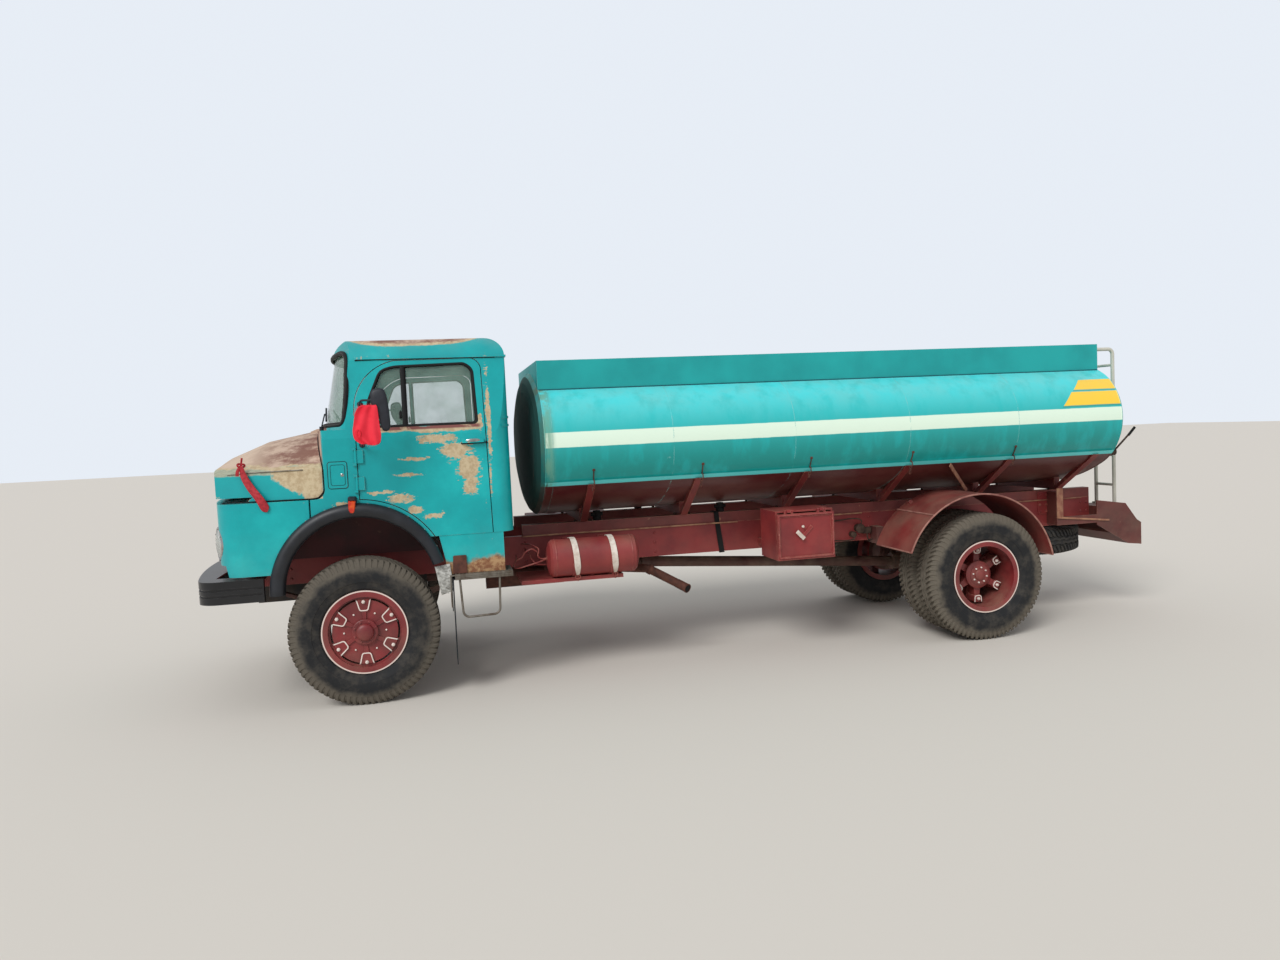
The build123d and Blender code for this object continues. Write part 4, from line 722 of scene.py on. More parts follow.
def block(x, y, z, edge=2.0):
    # a box from its low and high ends, with chamfered edges: three grids of corners pulled in
    low, high = np.array([x[0], y[0], z[0]], float), np.array([x[1], y[1], z[1]], float)
    middle, half = (low + high) / 2, (high - low) / 2
    signs = np.array(np.meshgrid((-1, 1), (-1, 1), (-1, 1), indexing="ij")).reshape(3, -1).T
    pulls = np.array([(1, 1, 0), (1, 0, 1), (0, 1, 1)]) * edge
    points = (signs[:, None] * (half - pulls[None])).reshape(-1, 3) + middle
    mesh = bmesh.new()
    verts = [mesh.verts.new(point) for point in points]
    bmesh.ops.convex_hull(mesh, input=verts)
    mesh.verts.index_update()
    faces = [[vert.index for vert in face.verts] for face in mesh.faces]
    solid = np.array([vert.co[:] for vert in mesh.verts])
    mesh.free()
    return solid, faces


def smoothPath(points, count, closed=False):
    # a Catmull-Rom line through the points, count steps to each span
    points = np.asarray(points, float)
    if closed:
        before, after, beyond = np.roll(points, 1, 0), np.roll(points, -1, 0), np.roll(points, -2, 0)
        start = points
    else:
        ends = np.concatenate([2 * points[:1] - points[1:2], points, 2 * points[-1:] - points[-2:-1]])
        before, start, after, beyond = ends[:-3], ends[1:-2], ends[2:-1], ends[3:]
    t = (np.arange(count) / count)[None, :, None]
    before, start, after, beyond = (array[:, None] for array in (before, start, after, beyond))
    line = 0.5 * (2 * start + (after - before) * t + (2 * before - 5 * start + 4 * after - beyond) * t ** 2
                  + (3 * start - before - 3 * after + beyond) * t ** 3)
    line = line.reshape(-1, points.shape[1])
    return line if closed else np.concatenate([line, points[-1:]])


def rounded(corners, radius, steps=5):
    # a closed outline with an arc of steps points at each corner, tangent to both sides
    corners = np.asarray(corners, float)
    radius = np.broadcast_to(np.asarray(radius, float), len(corners))
    before, after = unit(np.roll(corners, 1, 0) - corners), unit(np.roll(corners, -1, 0) - corners)
    half = np.arccos(np.clip((before * after).sum(1), -1, 1)) / 2
    reach = (radius / np.tan(half))[:, None]
    start, end = corners + before * reach, corners + after * reach
    centre = corners + unit(before + after) * (radius / np.sin(half))[:, None]
    share = np.linspace(0, 1, steps)[None, :, None]
    chord = start[:, None] * (1 - share) + end[:, None] * share - centre[:, None]
    return (centre[:, None] + unit(chord) * radius[:, None, None]).reshape(-1, corners.shape[1])


def lay(shape, place, direction):
    # a shape drawn about z, turned to the direction and moved to its place
    points, faces = shape
    return np.asarray(points) @ facing(direction).T + np.asarray(place, float), faces


def turnedAt(profile, place, direction, sides=20, start=0.0):
    return lay(turned(profile, sides, start), place, direction)


def onFace(points, y):
    # (x, z) points on the plane at y
    points = np.asarray(points, float)
    return together(points[:, 0], y, points[:, 1])


def prism(outline, low, high, edge=2.0):
    # an outline of (x, z) points carried along y from low to high, its far edge cut by edge
    outline = np.asarray(outline, float)
    pulled = outline + unit(outline.mean(0) - outline) * edge
    rings = [onFace(outline, low), onFace(outline, high - math.copysign(edge, high - low)),
             onFace(pulled, high)]
    return np.concatenate(rings), tubeFaces(3, len(outline))


def rod(route, radius, out=(0, 0, 1), steps=5, sides=8):
    # a round bar along a smooth line through the route's points
    return sweep(smoothPath(route, steps), out, circle(radius, sides))


print("helpers ready")


# tyres
tyreLook = {
    "lugs": 76, "groove": 14.0, "slant": 0.45, "zigzag": 6.0, "twinSpacing": 295, "spare": (5900, 0, 654.5),
    # one lug's rows: share of its pitch, and 1 where the row is raised
    "rows": [(0.0, 0), (0.07, 1), (0.32, 1), (0.56, 1), (0.63, 0), (0.82, 0)],
    # the outer half of the section: distance from the middle plane, radius, share of the groove's depth
    "side": [(60, 262, 0), (96, 262, 0), (96, 291, 0), (99, 300, 0), (106, 306, 0), (109, 318, 0),
             (118, 345, 0), (120, 352, 0), (123, 354, 0), (126.5, 380, 0), (127.5, 404, 0), (125.5, 428, 0),
             (122, 446, 0), (119, 454, 0.0), (117, 460, 0.6), (113, 474, 0.9), (108.5, 488, 1), (102, 502, 1),
             (94, 512.5, 1), (78, 514, 1), (44, 515, 1)],
    # the crown between the two rows of lugs: a groove, a ribbed middle and a groove
    "crown": [(40, 515, 1.0), (31, 515, 1.0), (27, 515, 0.12), (9, 515, 0.12), (6, 515, 0.7)],
}


def tyreShape():
    # rows turn round the tyre, six to a lug; a column's radius drops by the groove's depth where a
    # lug pattern of 0 and 1 says so, and its angle shifts with the distance from the middle
    lugs, sideCount = tyreLook["lugs"], len(tyreLook["side"])
    half = np.array(tyreLook["side"] + tyreLook["crown"], float)
    y, radius, depth = np.concatenate([half * (-1, 1, 1), half[::-1]]).T
    step, top = np.array(tyreLook["rows"], float).T
    turn = ((np.arange(lugs)[:, None] + step) / lugs * 2 * math.pi).reshape(-1, 1)
    raised = np.tile(top, lugs)[:, None]
    column = np.arange(len(y))
    onSide = (column < sideCount) | (column >= len(y) - sideCount)
    reach = radius - np.where(onSide, depth * (1 - raised), depth) * tyreLook["groove"]
    slant = tyreLook["slant"] * 2 * math.pi / lugs * np.clip((np.abs(y) - 40) / 70, 0, 1) * np.sign(y) * 2
    angle = turn + slant * (radius > 440) + np.where(y > 0, math.pi / lugs, 0.0)
    wave = np.sin(turn * lugs / 2) * tyreLook["zigzag"] * (np.abs(y) < 42) * (np.abs(y) > 7)
    points = together(reach * np.cos(angle), y + wave, reach * np.sin(angle))
    return points.reshape(-1, 3), gridFaces(len(turn), len(y), True, True)


def makeTyres():
    points, faces = tyreShape()
    for key, (x, y) in wheels.items():
        end, side = key.split("_")
        places = [(x, y, tyreRadius)]
        if end == "rear":
            places.append((x, y - math.copysign(tyreLook["twinSpacing"], y), tyreRadius))
        shape = copies((points, faces), places)
        tyre = meshPiece(f"treadTyre_{key}", shape, f"tyre_{key}", f"wheel_{key}", sharp=28)
        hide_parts(f"{end}_tyre{plural[end]}_{side}")
    lying = points[:, [0, 2, 1]] * (1, 1, -1) + tyreLook["spare"]
    spare = meshPiece("treadTyre_spare", (lying, faces), "tyre_spare", sharp=28)
    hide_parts("spare_tyre")
    print("tyres made:", len(points), "points each")


makeTyres()


# wheel trims: white outlines, nuts, hub caps
# faces lie along the axle and grow inwards, the rest is measured from the hub's middle; nut is its
# ring and height, dots their ring, face, count and first angle
wheelTrim = {
    "front": {
        "face": -94.0, "whiteLine": [(-45, 222), (-27, 150), (27, 150), (45, 222)], "corner": 16, "lift": 1.2,
        "nut": (212, 20), "dot": [(6.5, 0), (6.5, 5), (3.9, 8), (0, 8.5)], "dots": (142, -81, 6, 30),
        "lug": [(-49, 228), (-31, 143), (31, 143), (49, 228)], "lugRound": 14, "lugFoot": (-80, 0.6),
        "spoke": [(-11, 80), (11, 80), (17, 150), (-17, 150)], "spokeEnds": (-79, -91, 4),
        "cap": [(60, 0), (60, 4), (57, 9), (50, 15), (38, 20), (20, 23), (0, 24)], "capFace": -119,
        "plate": [(88, 0), (88, 3), (84, 6), (62, 6)], "plateFace": -101.5,
    },
    "rear": {
        "face": 26.0, "whiteLine": [(-30, 226), (-27, 176), (27, 176), (30, 226)], "corner": 18, "lift": 1.5,
        "nut": (201, 22), "dot": [(7, 0), (7, 8), (4.5, 12), (0, 12.5)], "dots": (62, -4.0, 8, 12),
        "lug": [(-34, 232), (-32, 168), (32, 168), (34, 232)], "lugRound": 16, "lugFoot": (150, 0.8),
        "spoke": [(-34, 78), (34, 78), (25, 170), (-25, 170)], "spokeEnds": (150, 40, 6),
        "cap": [(82, 0), (82, 4), (76, 6), (44, 6), (42, 14), (34, 20), (0, 22)], "capFace": 0.5,
        "plate": [(112, 0), (112, 6), (100, 12), (84, 20)], "plateFace": 22,
    },
    "clamps": 6, "lineWidth": 8.0, "nutRadius": 13.0,
}


def aroundWheel(shape, count, start=0.0):
    # shape is drawn upright over the hub, outwards towards -y, and is turned about the axle
    turns = np.stack([spun("Y", start + 360 / count * number) for number in range(count)])
    return copies(shape, np.zeros((count, 3)), turns)


def nutShape(radius, height):
    # a six-sided nut with a rounded bolt end, standing on z = 0
    nut = turned([(radius, 0), (radius, height * 0.55), (radius * 0.82, height * 0.62)], 6)
    stud = turned([(radius * 0.5, 0), (radius * 0.5, height * 0.95), (radius * 0.3, height), (0, height)], 10)
    return joinShapes(nut, stud)


def wheelTrimShapes(end):
    # white marks, nuts and castings of one wheel, drawn about its hub with the outside towards -y
    look, clamps = wheelTrim[end], wheelTrim["clamps"]
    face, hub = look["face"], (0, -1, 0)
    corners = rounded(look["whiteLine"], (0.01, look["corner"], look["corner"], 0.01), 6)
    outline = sweep(onFace(corners, face), hub, slab(wheelTrim["lineWidth"], -3, look["lift"], 0.6))
    ring, height = look["nut"]
    nuts = aroundWheel(lay(nutShape(wheelTrim["nutRadius"], height), (0, face, ring), hub), clamps)
    ring, dotFace, count, start = look["dots"]
    dots = aroundWheel(turnedAt(look["dot"], (0, dotFace, ring), hub, 10), count, start)
    # a cast body stands under each white outline, and a rib runs from it to the hub
    foot, lift = look["lugFoot"]
    lug = prism(rounded(look["lug"], look["lugRound"], 5), foot, face + lift, 6)
    castings = aroundWheel(joinShapes(lug, prism(look["spoke"], *look["spokeEnds"])), clamps)
    # the domed hub cap and the plate under it: radius falls as height grows
    cap, plate = (turnedAt(look[part], (0, look[part + "Face"], 0), hub, 36) for part in ("cap", "plate"))
    shapes = [castings, cap, plate]
    if end == "front":
        shapes.append(aroundWheel(lay(nutShape(7, 9), (0, -107, 74), hub), 8, 22.5))
    return joinShapes(aroundWheel(outline, clamps), dots), nuts, joinShapes(*shapes)


def makeWheelTrims():
    made = {end: wheelTrimShapes(end) for end in ("front", "rear")}
    for key, (x, y) in wheels.items():
        end, side = key.split("_")
        for part, look, shape in zip(("Marks", "Nuts", "Castings"), ("whiteMark", "whiteMark", f"wheel_{key}"),
                                     made[end]):
            points, faces = forSide(side, shape)
            meshPiece(f"wheel{part}_{key}", (points + (x, y, tyreRadius), faces), look,
                      f"wheel_{key}")
    print("wheel trims made")


makeWheelTrims()


# cab seals and trim
cabTrim = {
    "half": 1090, "waist": 1865, "gutter": 2400, "gutterHalf": 1012,
    "screenMiddle": -300, "screenCorner": -62, "screenLow": 1962, "screenHigh": 2470, "bow": 238,
    "belt": 1925, "lean": 0.2, "cornerRound": 90, "bonnetBow": 115,
    "window": [(112, 1932), (104, 2100), (200, 2325), (290, 2352), (780, 2362), (838, 2320), (852, 1932)],
    "screenSeal": [(-16, -16), (17, -16), (17, 0), (12, 4), (0, 6), (-10, 3), (-16, -3)],
    "windowRounds": [26, 240, 90, 280, 60, 70, 26],
}
sideLean = (cabTrim["half"] - cabTrim["gutterHalf"]) / (cabTrim["gutter"] - cabTrim["waist"])
sideNormal = unit((0, -1, sideLean))


def cabSide(z):
    # half width at a height: upright to the waist, a straight lean to the gutter, then the roof's arch
    lean = cabTrim["half"] - sideLean * np.clip(np.asarray(z, float) - cabTrim["waist"], 0, 535)
    return lean - 57 * np.clip((np.asarray(z, float) - cabTrim["gutter"]) / 100, 0, None) ** 1.4


def onSide(points, out=0.0):
    # (x, z) points laid on the cab's left side, moved outwards
    points = np.asarray(points, float)
    return together(points[:, 0], -cabSide(points[:, 1]), points[:, 1]) + sideNormal * out


def bowRadius(depth):
    # the radius of an arch over the cab's width, its middle ahead of its ends by depth
    return (cabTrim["half"] ** 2 + depth ** 2) / (2 * depth)


def screenMiddle(z):
    # the foremost x of the windscreen at a height
    return cabTrim["screenMiddle"] + cabTrim["lean"] * (z - cabTrim["belt"])


def screenPlan(x, z):
    # the left corner of the windscreen at (x, z): y and the outward direction. A round of 90 mm joins
    # the arched front to the side, and both lean back by 0.2 mm a millimetre
    x, z = np.asarray(x, float), np.asarray(z, float)
    bow, middle = bowRadius(cabTrim["bow"]), screenMiddle(z)
    radius, inner = cabTrim["cornerRound"], cabTrim["half"] - cabTrim["cornerRound"]
    centre = middle + bow - math.sqrt((bow - radius) ** 2 - inner ** 2)
    y = -(inner + np.sqrt(np.clip(radius ** 2 - np.clip(x - centre, -radius, 0) ** 2, 0, None)))
    limit = -cabSide(z)
    normal = together(np.clip(x - centre, -radius, 0), y + inner,
                      -cabTrim["lean"] * np.clip(x - centre, -radius, 0))
    flat = y < limit
    normal = np.where(flat[..., None], sideNormal * radius, normal)
    y = np.where(flat, limit, y)
    # ahead of the round the front itself carries the seal: a circle of radius bow about middle + bow
    reach = middle + bow - x
    arc = -np.sqrt(np.clip(bow ** 2 - reach ** 2, 0, None))
    ahead = arc > y
    normal = np.where(ahead[..., None], together(-reach, arc, cabTrim["lean"] * reach), normal)
    return np.where(ahead, arc, y), unit(normal)


def screenRow(z, end):
    # the windscreen at one height, from the left edge at x = end round the front to the right edge
    bow, middle = bowRadius(cabTrim["bow"]), screenMiddle(z)
    corner = np.linspace(end, middle + 214, 12)
    y, normal = screenPlan(corner, np.full(12, z))
    left = together(corner, y, z)
    across = np.linspace(-1020, 1020, 30)
    depth = np.sqrt(bow ** 2 - across ** 2)
    front = together(middle + bow - depth, across, z)
    ahead = unit(together(-depth, across, cabTrim["lean"] * depth))
    flip = np.array((1, -1, 1))
    points = np.concatenate([left, front, left[::-1] * flip])
    return points, np.concatenate([normal, ahead, normal[::-1] * flip])


def evenLine(line, count):
    # a line of points spread evenly over count points of its own length
    reach = np.concatenate([[0], np.cumsum(np.linalg.norm(np.diff(line[:, :3], axis=0), axis=1) + 1e-6)])
    even = np.linspace(0, reach[-1], count)
    return together(*(np.interp(even, reach, column) for column in line.T))


def softened(path, outward):
    # a closed path spread evenly over 280 points: each place is then the mean of 5 neighbours, and
    # each direction the mean of 21
    both = np.concatenate([path, outward], 1)
    line = evenLine(np.concatenate([both, both[:1]]), 281)[:-1]
    near = np.mean([np.roll(line[:, :3], shift, 0) for shift in range(-2, 3)], 0)
    aim = np.mean([np.roll(line[:, 3:], shift, 0) for shift in range(-10, 11)], 0)
    return near, unit(aim)


def makeScreenSeal():
    # the seal's path: right along the foot, up the right edge, back along the top, down the left edge.
    # Each edge is a rounded line in (x, z), laid on the surface by screenPlan
    low, high = cabTrim["screenLow"], cabTrim["screenHigh"]
    (foot, footOut), (top, topOut) = (screenRow(z, cabTrim["screenCorner"]) for z in (low, high))
    edge = rounded([(-79, low), (-60, low), (-26, 2200), (-9, high), (-95, high)], [0.01, 12, 200, 60, 0.01], 9)
    edge = evenLine(edge, 60)
    y, out = screenPlan(*edge.T)
    left = together(edge[:, 0], y, edge[:, 1])
    flip = np.array((1, -1, 1))
    inFoot, inTop = np.abs(foot[:, 1]) < 1015, np.abs(top[:, 1]) < 640
    inFoot[:12] = inFoot[-12:] = inTop[:12] = inTop[-12:] = False
    path = np.concatenate([foot[inFoot], left * flip, top[inTop][::-1], left[::-1]])
    outward = np.concatenate([footOut[inFoot], out * flip, topOut[inTop][::-1], out[::-1]])
    path, outward = softened(path, outward)
    # the cab's frame stands 14 mm proud of the glass higher up, so the seal rises with it
    lift = 3.5 + 10 * np.clip((path[:, 2:] - 2080) / 220, 0, 1)
    seal = sweep(path + outward * lift, outward, cabTrim["screenSeal"], True)
    meshPiece("windscreenSeal", seal, "seal", sharp=50)
    # a thin bright insert runs in the seal's channel
    insert = sweep(path + outward * (lift + 4.7), outward, circle(2.2, 6), True)
    meshPiece("windscreenInsert", insert, "agedRubber")


def sideStrip(corners, radius, section):
    return sweep(onSide(rounded(corners, radius, 7)), sideNormal, section, True)


def makeDoorTrim(side):
    # window seal, post channels and inner panel, drawn for the left door
    door = f"door_{side}"
    corners = np.array(cabTrim["window"], float)
    rounds = np.array(cabTrim["windowRounds"], float)
    seal = sideStrip(corners, rounds, [(-7, -16), (10, -16), (10, 0.5), (4, 2.5), (-3, 2.5), (-7, -1)])
    middle = corners.mean(0)
    inner = middle + (corners - middle) * 0.972
    channel = sideStrip(inner, rounds * 0.9, [(-8, -22), (6, -22), (6, -9), (-8, -9)])
    post = [sweep(onSide([(x, 1934), (x, 2140), (x, 2352)]), sideNormal, section)
            for x, section in ((353, slab(30, -22, 2.5, 2)), (371, slab(8, -26, -6, 1)))]
    catch = joinShapes(block((318, 336), (-1068, -1052), (1985, 2035), 3),
                       block((322, 332), (-1072, -1046), (2028, 2042), 3))
    shape = joinShapes(seal, channel, *post, catch)
    meshPiece(f"doorSeals_{side}", forSide(side, shape), "seal", door, sharp=50)
    # inside: a trimmed panel with an arm rest, a window winder and a catch handle
    card = np.array([(60, 1500), (60, 1900), (850, 1900), (862, 1215), (560, 1215), (480, 1340), (300, 1440),
                     (180, 1480)], float)
    panel = prism(rounded(card, 24, 5), -1049, -1044, 2)
    rest = prism(rounded([(430, 1530), (430, 1590), (790, 1600), (790, 1530)], 20, 5), -1044, -985, 10)
    winder = joinShapes(turnedAt([(22, 0), (22, 8), (16, 14), (0, 14)], (620, -1044, 1450), (0, 1, 0), 18),
                        sweep([(620, -1034, 1450), (560, -1024, 1420), (545, -1020, 1412)], (0, 1, 0),
                              slab(14, -4, 4, 2)),
                        turnedAt([(0, -2), (11, -2), (12, 20), (8, 34), (0, 36)], (545, -1020, 1412), (0, 1, 0),
                                 12))
    pull = joinShapes(turnedAt([(18, 0), (18, 6), (12, 10), (0, 10)], (760, -1044, 1680), (0, 1, 0), 18),
                      sweep([(760, -1036, 1680), (720, -1026, 1684), (668, -1026, 1680)], (0, 1, 0),
                            slab(16, -4, 4, 2)))
    meshPiece(f"doorCard_{side}", forSide(side, joinShapes(panel, rest)), "card", door)
    meshPiece(f"doorWinder_{side}", forSide(side, joinShapes(winder, pull)), "chrome", door)


def makeHandle(side):
    # a chrome bow with flared ends over a dark plate
    bow = smoothPath([(742, -1093, 1808), (756, -1112, 1810), (790, -1121, 1812), (832, -1121, 1812),
                      (866, -1112, 1810), (880, -1093, 1808)], 4)
    grip = sweep(bow, (0, 0, 1), circle(9, 10, 1.25))
    plate = prism(rounded([(728, 1786), (728, 1800), (892, 1800), (892, 1786)], 6, 4), -1088, -1098, 3)
    button = turnedAt([(9, 0), (9, 8), (6, 11), (0, 11)], (905, -1088, 1793), (0, -1, 0), 14)
    for label, shape, look in (("Grip", grip, "chrome"), ("Plate", joinShapes(plate, button), "seal")):
        meshPiece(f"handle{label}_{side}", forSide(side, shape), look, f"door_{side}")


def makeCabTrim():
    makeScreenSeal()
    for side in ("left", "right"):
        makeDoorTrim(side)
        makeHandle(side)
    # rear window seal
    corners = rounded([(-430, 1960), (430, 1960), (430, 2260), (-430, 2260)], 60, 8)
    path = together(1070.0, corners[:, 0], corners[:, 1])
    section = [(-12, -16), (12, -16), (12, 1), (5, 5), (-7, 4), (-12, 0)]
    seal = sweep(path, (1, 0, 0), section, True)
    meshPiece("rearWindowSeal", seal, "seal", sharp=50)
    # the shade under the gutter above the doors: a thin dark bead in the angle under the rain strip, as painted
    # shade
    gutter = smoothPath([(40, 2400), (140, 2402), (600, 2402), (1000, 2397)], 8)
    bead = sweep(onSide(gutter, 3.5), sideNormal, circle(5, 8, 0.8))
    meshPiece("gutterShadeBead", bothSides(bead), "seal")
    # the cowl flap's gap and the ridge inside it, as thin dark strips
    flap = rounded([(-178, 1524), (-50, 1524), (-50, 1707), (-178, 1707)], 18, 6)
    ring = sweep(onFace(flap, -1091.6), (0, -1, 0), slab(5, -2, 1.2, 0.5), True)
    inner = rounded([(-160, 1545), (-66, 1545), (-66, 1686), (-160, 1686)], 14, 6)
    ridge = sweep(onFace(inner, -1092.6), (0, -1, 0), slab(3, -2, 1.6, 0.5), True)
    meshPiece("cowlFlapGap", bothSides(joinShapes(ring, ridge)), "seal", sharp=50)
    keyhole = turnedAt([(11, 0), (11, 2), (7, 4.5), (0, 4.5)], (-84, -1092, 1615), (0, -1, 0), 16)
    meshPiece("cowlFlapCatch", bothSides(keyhole), "chrome")
    print("cab seals and trim made")


makeCabTrim()


# arch flares, headlamps, bonnet seals and lamps
frontTrim = {
    "archX": -10, "archZ": 825, "archRadius": 590, "archEnds": (180.5, 14.5), "boltRadius": 588,
    # the flare's section from the body out and back: radius about the arch's centre, distance from
    # the truck's middle
    "flare": [(590, 1094), (592, 1104), (589, 1118), (581, 1132), (568, 1142), (552, 1148), (534, 1149),
              (516, 1145), (503, 1136), (495, 1120), (492, 1096), (492, 1062), (500, 1062), (501, 1096),
              (504, 1116), (512, 1130), (524, 1137), (548, 1138), (562, 1132), (573, 1122), (579, 1104),
              (580, 1094)],
    "lamp": (-916, -925, 1183), "lampTurn": 20, "lampRadius": 112, "tailLamp": (6692, -480, 690),
}


def flareShape():
    # the section carried round the arch from its front foot to its rear end
    section = smoothPath(frontTrim["flare"], 2, closed=True)
    outer, (start, stop) = frontTrim["archRadius"], frontTrim["archEnds"]
    angle = np.radians(np.linspace(start, stop, 72))
    # the band narrows towards its rear end
    narrow = np.interp(np.degrees(angle), (stop, 60, start), (0.80, 1.0, 1.0))
    radius = outer - (outer - section[None, :, 0]) * narrow[:, None]
    x = frontTrim["archX"] + radius * np.cos(angle)[:, None]
    z = frontTrim["archZ"] + radius * np.sin(angle)[:, None]
    y = np.broadcast_to(-section[None, :, 1], x.shape)
    return together(x, y, z).reshape(-1, 3), tubeFaces(len(angle), len(section))


def headlampShapes():
    radius = frontTrim["lampRadius"]
    turn = math.radians(frontTrim["lampTurn"])
    place, direction = np.array(frontTrim["lamp"], float), (-math.cos(turn), -math.sin(turn), 0)
    ring = turned([(radius - 12, 8), (radius - 10, 20), (radius - 2, 24), (radius + 6, 18), (radius + 9, 6),
                   (radius + 7, -6), (radius - 2, -6), (radius - 12, 0)], 48)
    ring = (ring[0], gridFaces(48, 8, True, True))
    # the reflector is a bowl; its rim stays behind the glass
    bowl = turned([(0, -62), (20, -61), (52, -52), (80, -34), (98, -10), (101, 4), (104, 4), (104, -14),
                   (84, -40), (54, -58), (0, -68)], 40)
    bulb = turned([(0, -62), (9, -60), (9, -30), (6, -24), (0, -22)], 14)
    # the glass: a dome whose inner side is ribbed, as a grid of height over radius and angle
    rows, columns = 72, 14
    share = np.linspace(0, 1, columns)[1:]
    angle = around(rows)
    across = share[None] * (radius - 8) * np.cos(angle)[:, None]
    ribs = 1.2 * np.abs(np.sin(across / 14 * math.pi))
    outer = 8 + 30 * np.sqrt(np.clip(1 - (share[None] * 0.97) ** 2, 0, 1)) + ribs
    up = share[None] * (radius - 8) * np.sin(angle)[:, None]
    front = together(across, up, outer)
    back = together(across, up, np.clip(outer - 5, 6, None))[:, ::-1]
    profile = np.concatenate([front, back], 1)
    count = profile.shape[1]
    faces = gridFaces(rows, count, True, False)
    points = np.concatenate([profile.reshape(-1, 3), [(0, 0, 38), (0, 0, 33)]])
    poles = rows * count
    pairs = [(row * count, (row + 1) % rows * count) for row in range(rows)]
    faces += [[poles, row, other] for row, other in pairs]
    faces += [[poles + 1, other + count - 1, row + count - 1] for row, other in pairs]
    places = [(radius * math.cos(a), radius * math.sin(a), 20) for a in (0.5, 2.6, 4.7)]
    screws = copies(turned([(5, 0), (5, 6), (3, 8), (0, 8)], 10), places)
    return [lay(shape, place, direction) for shape in (joinShapes(ring, screws), joinShapes(bowl, bulb),
                                                       (points, faces))]


def makeFrontTrim():
    flare = meshPiece("flareBands", bothSides(flareShape()), "rubber", sharp=50)
    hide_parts("arch_flares")
    angle, radius = np.radians(180 - 14 * np.arange(1, 12)), frontTrim["boltRadius"]
    ring = together(frontTrim["archX"] + radius * np.cos(angle), frontTrim["archZ"] + radius * np.sin(angle))
    heads = copies(turnedAt([(7, -4), (7, 2), (4, 5), (0, 5.5)], (0, 0, 0), (0, -1, 0), 10),
                   onFace(ring, -1104.5))
    meshPiece("flareBolts", bothSides(heads), "chrome")
    ring, bowl, glass = headlampShapes()
    lamp = meshPiece("headlampGlass", bothSides(glass), "lens", sharp=60)
    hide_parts("headlamps")
    meshPiece("headlampRings", bothSides(ring), "chrome")
    meshPiece("headlampBowls", bothSides(bowl), "chrome")
    # black rubber strip along the bonnet's rear edge and round its lower rear corner
    side = smoothPath([(-880, 1463.5), (-700, 1463.5), (-400, 1463.5), (-275, 1464), (-236, 1482), (-211, 1520),
                       (-207, 1580), (-207, 1660)], 6)
    y = -np.interp(side[:, 0], (-880, -700, -330), (1022, 1050, 1080))
    rim = sweep(together(side[:, 0], y, side[:, 1]), (0, -1, 0), slab(7, -12, 3.5, 2))
    meshPiece("bonnetSideSeal", bothSides(rim), "seal", sharp=50)
    across = np.linspace(-1040, 1040, 60)
    bow = bowRadius(cabTrim["bonnetBow"])
    joint = cabTrim["screenMiddle"] - 18 + bow - np.sqrt(bow ** 2 - across ** 2) - 4
    top = 1680 + (1944 - 1680) * (1 - (across / 1052) ** 2)
    path = together(joint, across, top - 3)
    meshPiece("bonnetRearSeal", sweep(path, (0, 0, 1), slab(6, -14, 2.5, 1)), "seal", sharp=50)
    # a dull strip along each crease of the bonnet
    crease = smoothPath([(-345, -1043, 1663), (-520, -1031, 1662), (-700, -1012, 1659), (-840, -993, 1650)], 6)
    strip = sweep(crease, (0, -1, 0.25), slab(7, -3, 3, 1.5))
    meshPiece("bonnetCreaseStrips", bothSides(strip), "step", "bonnet", sharp=50)
    # marker lamps on the flares' tops with a black foot and cap; round tail lamps behind
    drop = [(-54, 1466), (0, 1464), (2, 1440), (-6, 1352), (-22, 1338), (-46, 1340), (-58, 1356), (-56, 1440)]
    foot = prism(rounded(drop, 10, 4), -1086, -1134, 4)
    cap = prism(rounded([(-50, 1464), (-4, 1463), (-4, 1438), (-52, 1438)], 8, 4), -1100, -1156, 6)
    lens = prism(rounded([(-52, 1440), (-3, 1440), (-9, 1366), (-20, 1348), (-44, 1350), (-54, 1368)], 12, 5),
                 -1104, -1152, 8)
    housing = turnedAt([(38, -24), (45, -8), (46, 26), (42, 30), (38, 30)], frontTrim["tailLamp"], (1, 0, 0),
                       32)
    tail = turnedAt([(38, 20), (38, 34), (26, 40), (0, 43)], frontTrim["tailLamp"], (1, 0, 0), 32)
    markers = meshPiece("lampLenses", bothSides(joinShapes(lens, tail)), "amberRed")
    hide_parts("lamps_small")
    meshPiece("lampFeet", bothSides(joinShapes(foot, cap, housing)), "plastic")
    print("front trim made")


makeFrontTrim()


# mirrors, cloth and ribbon
mirrorLook = {
    # outline of the housing seen from the left: (x, z), slanted back towards its foot
    "outline": [(150, 2120), (158, 2170), (196, 2187), (236, 2180), (254, 2130), (264, 2040), (268, 1950),
                (262, 1915), (238, 1900), (214, 1915), (196, 1985), (160, 2050)],
    # the housing's rings: share of the outline, y
    "steps": [(0.90, -1318), (0.98, -1316), (1.0, -1320), (1.0, -1334), (0.97, -1346), (0.86, -1353),
              (0.6, -1355), (0.25, -1355)],
    "arms": [((60, 1815), (200, 1962)), ((60, 2095), (180, 2138))],
}


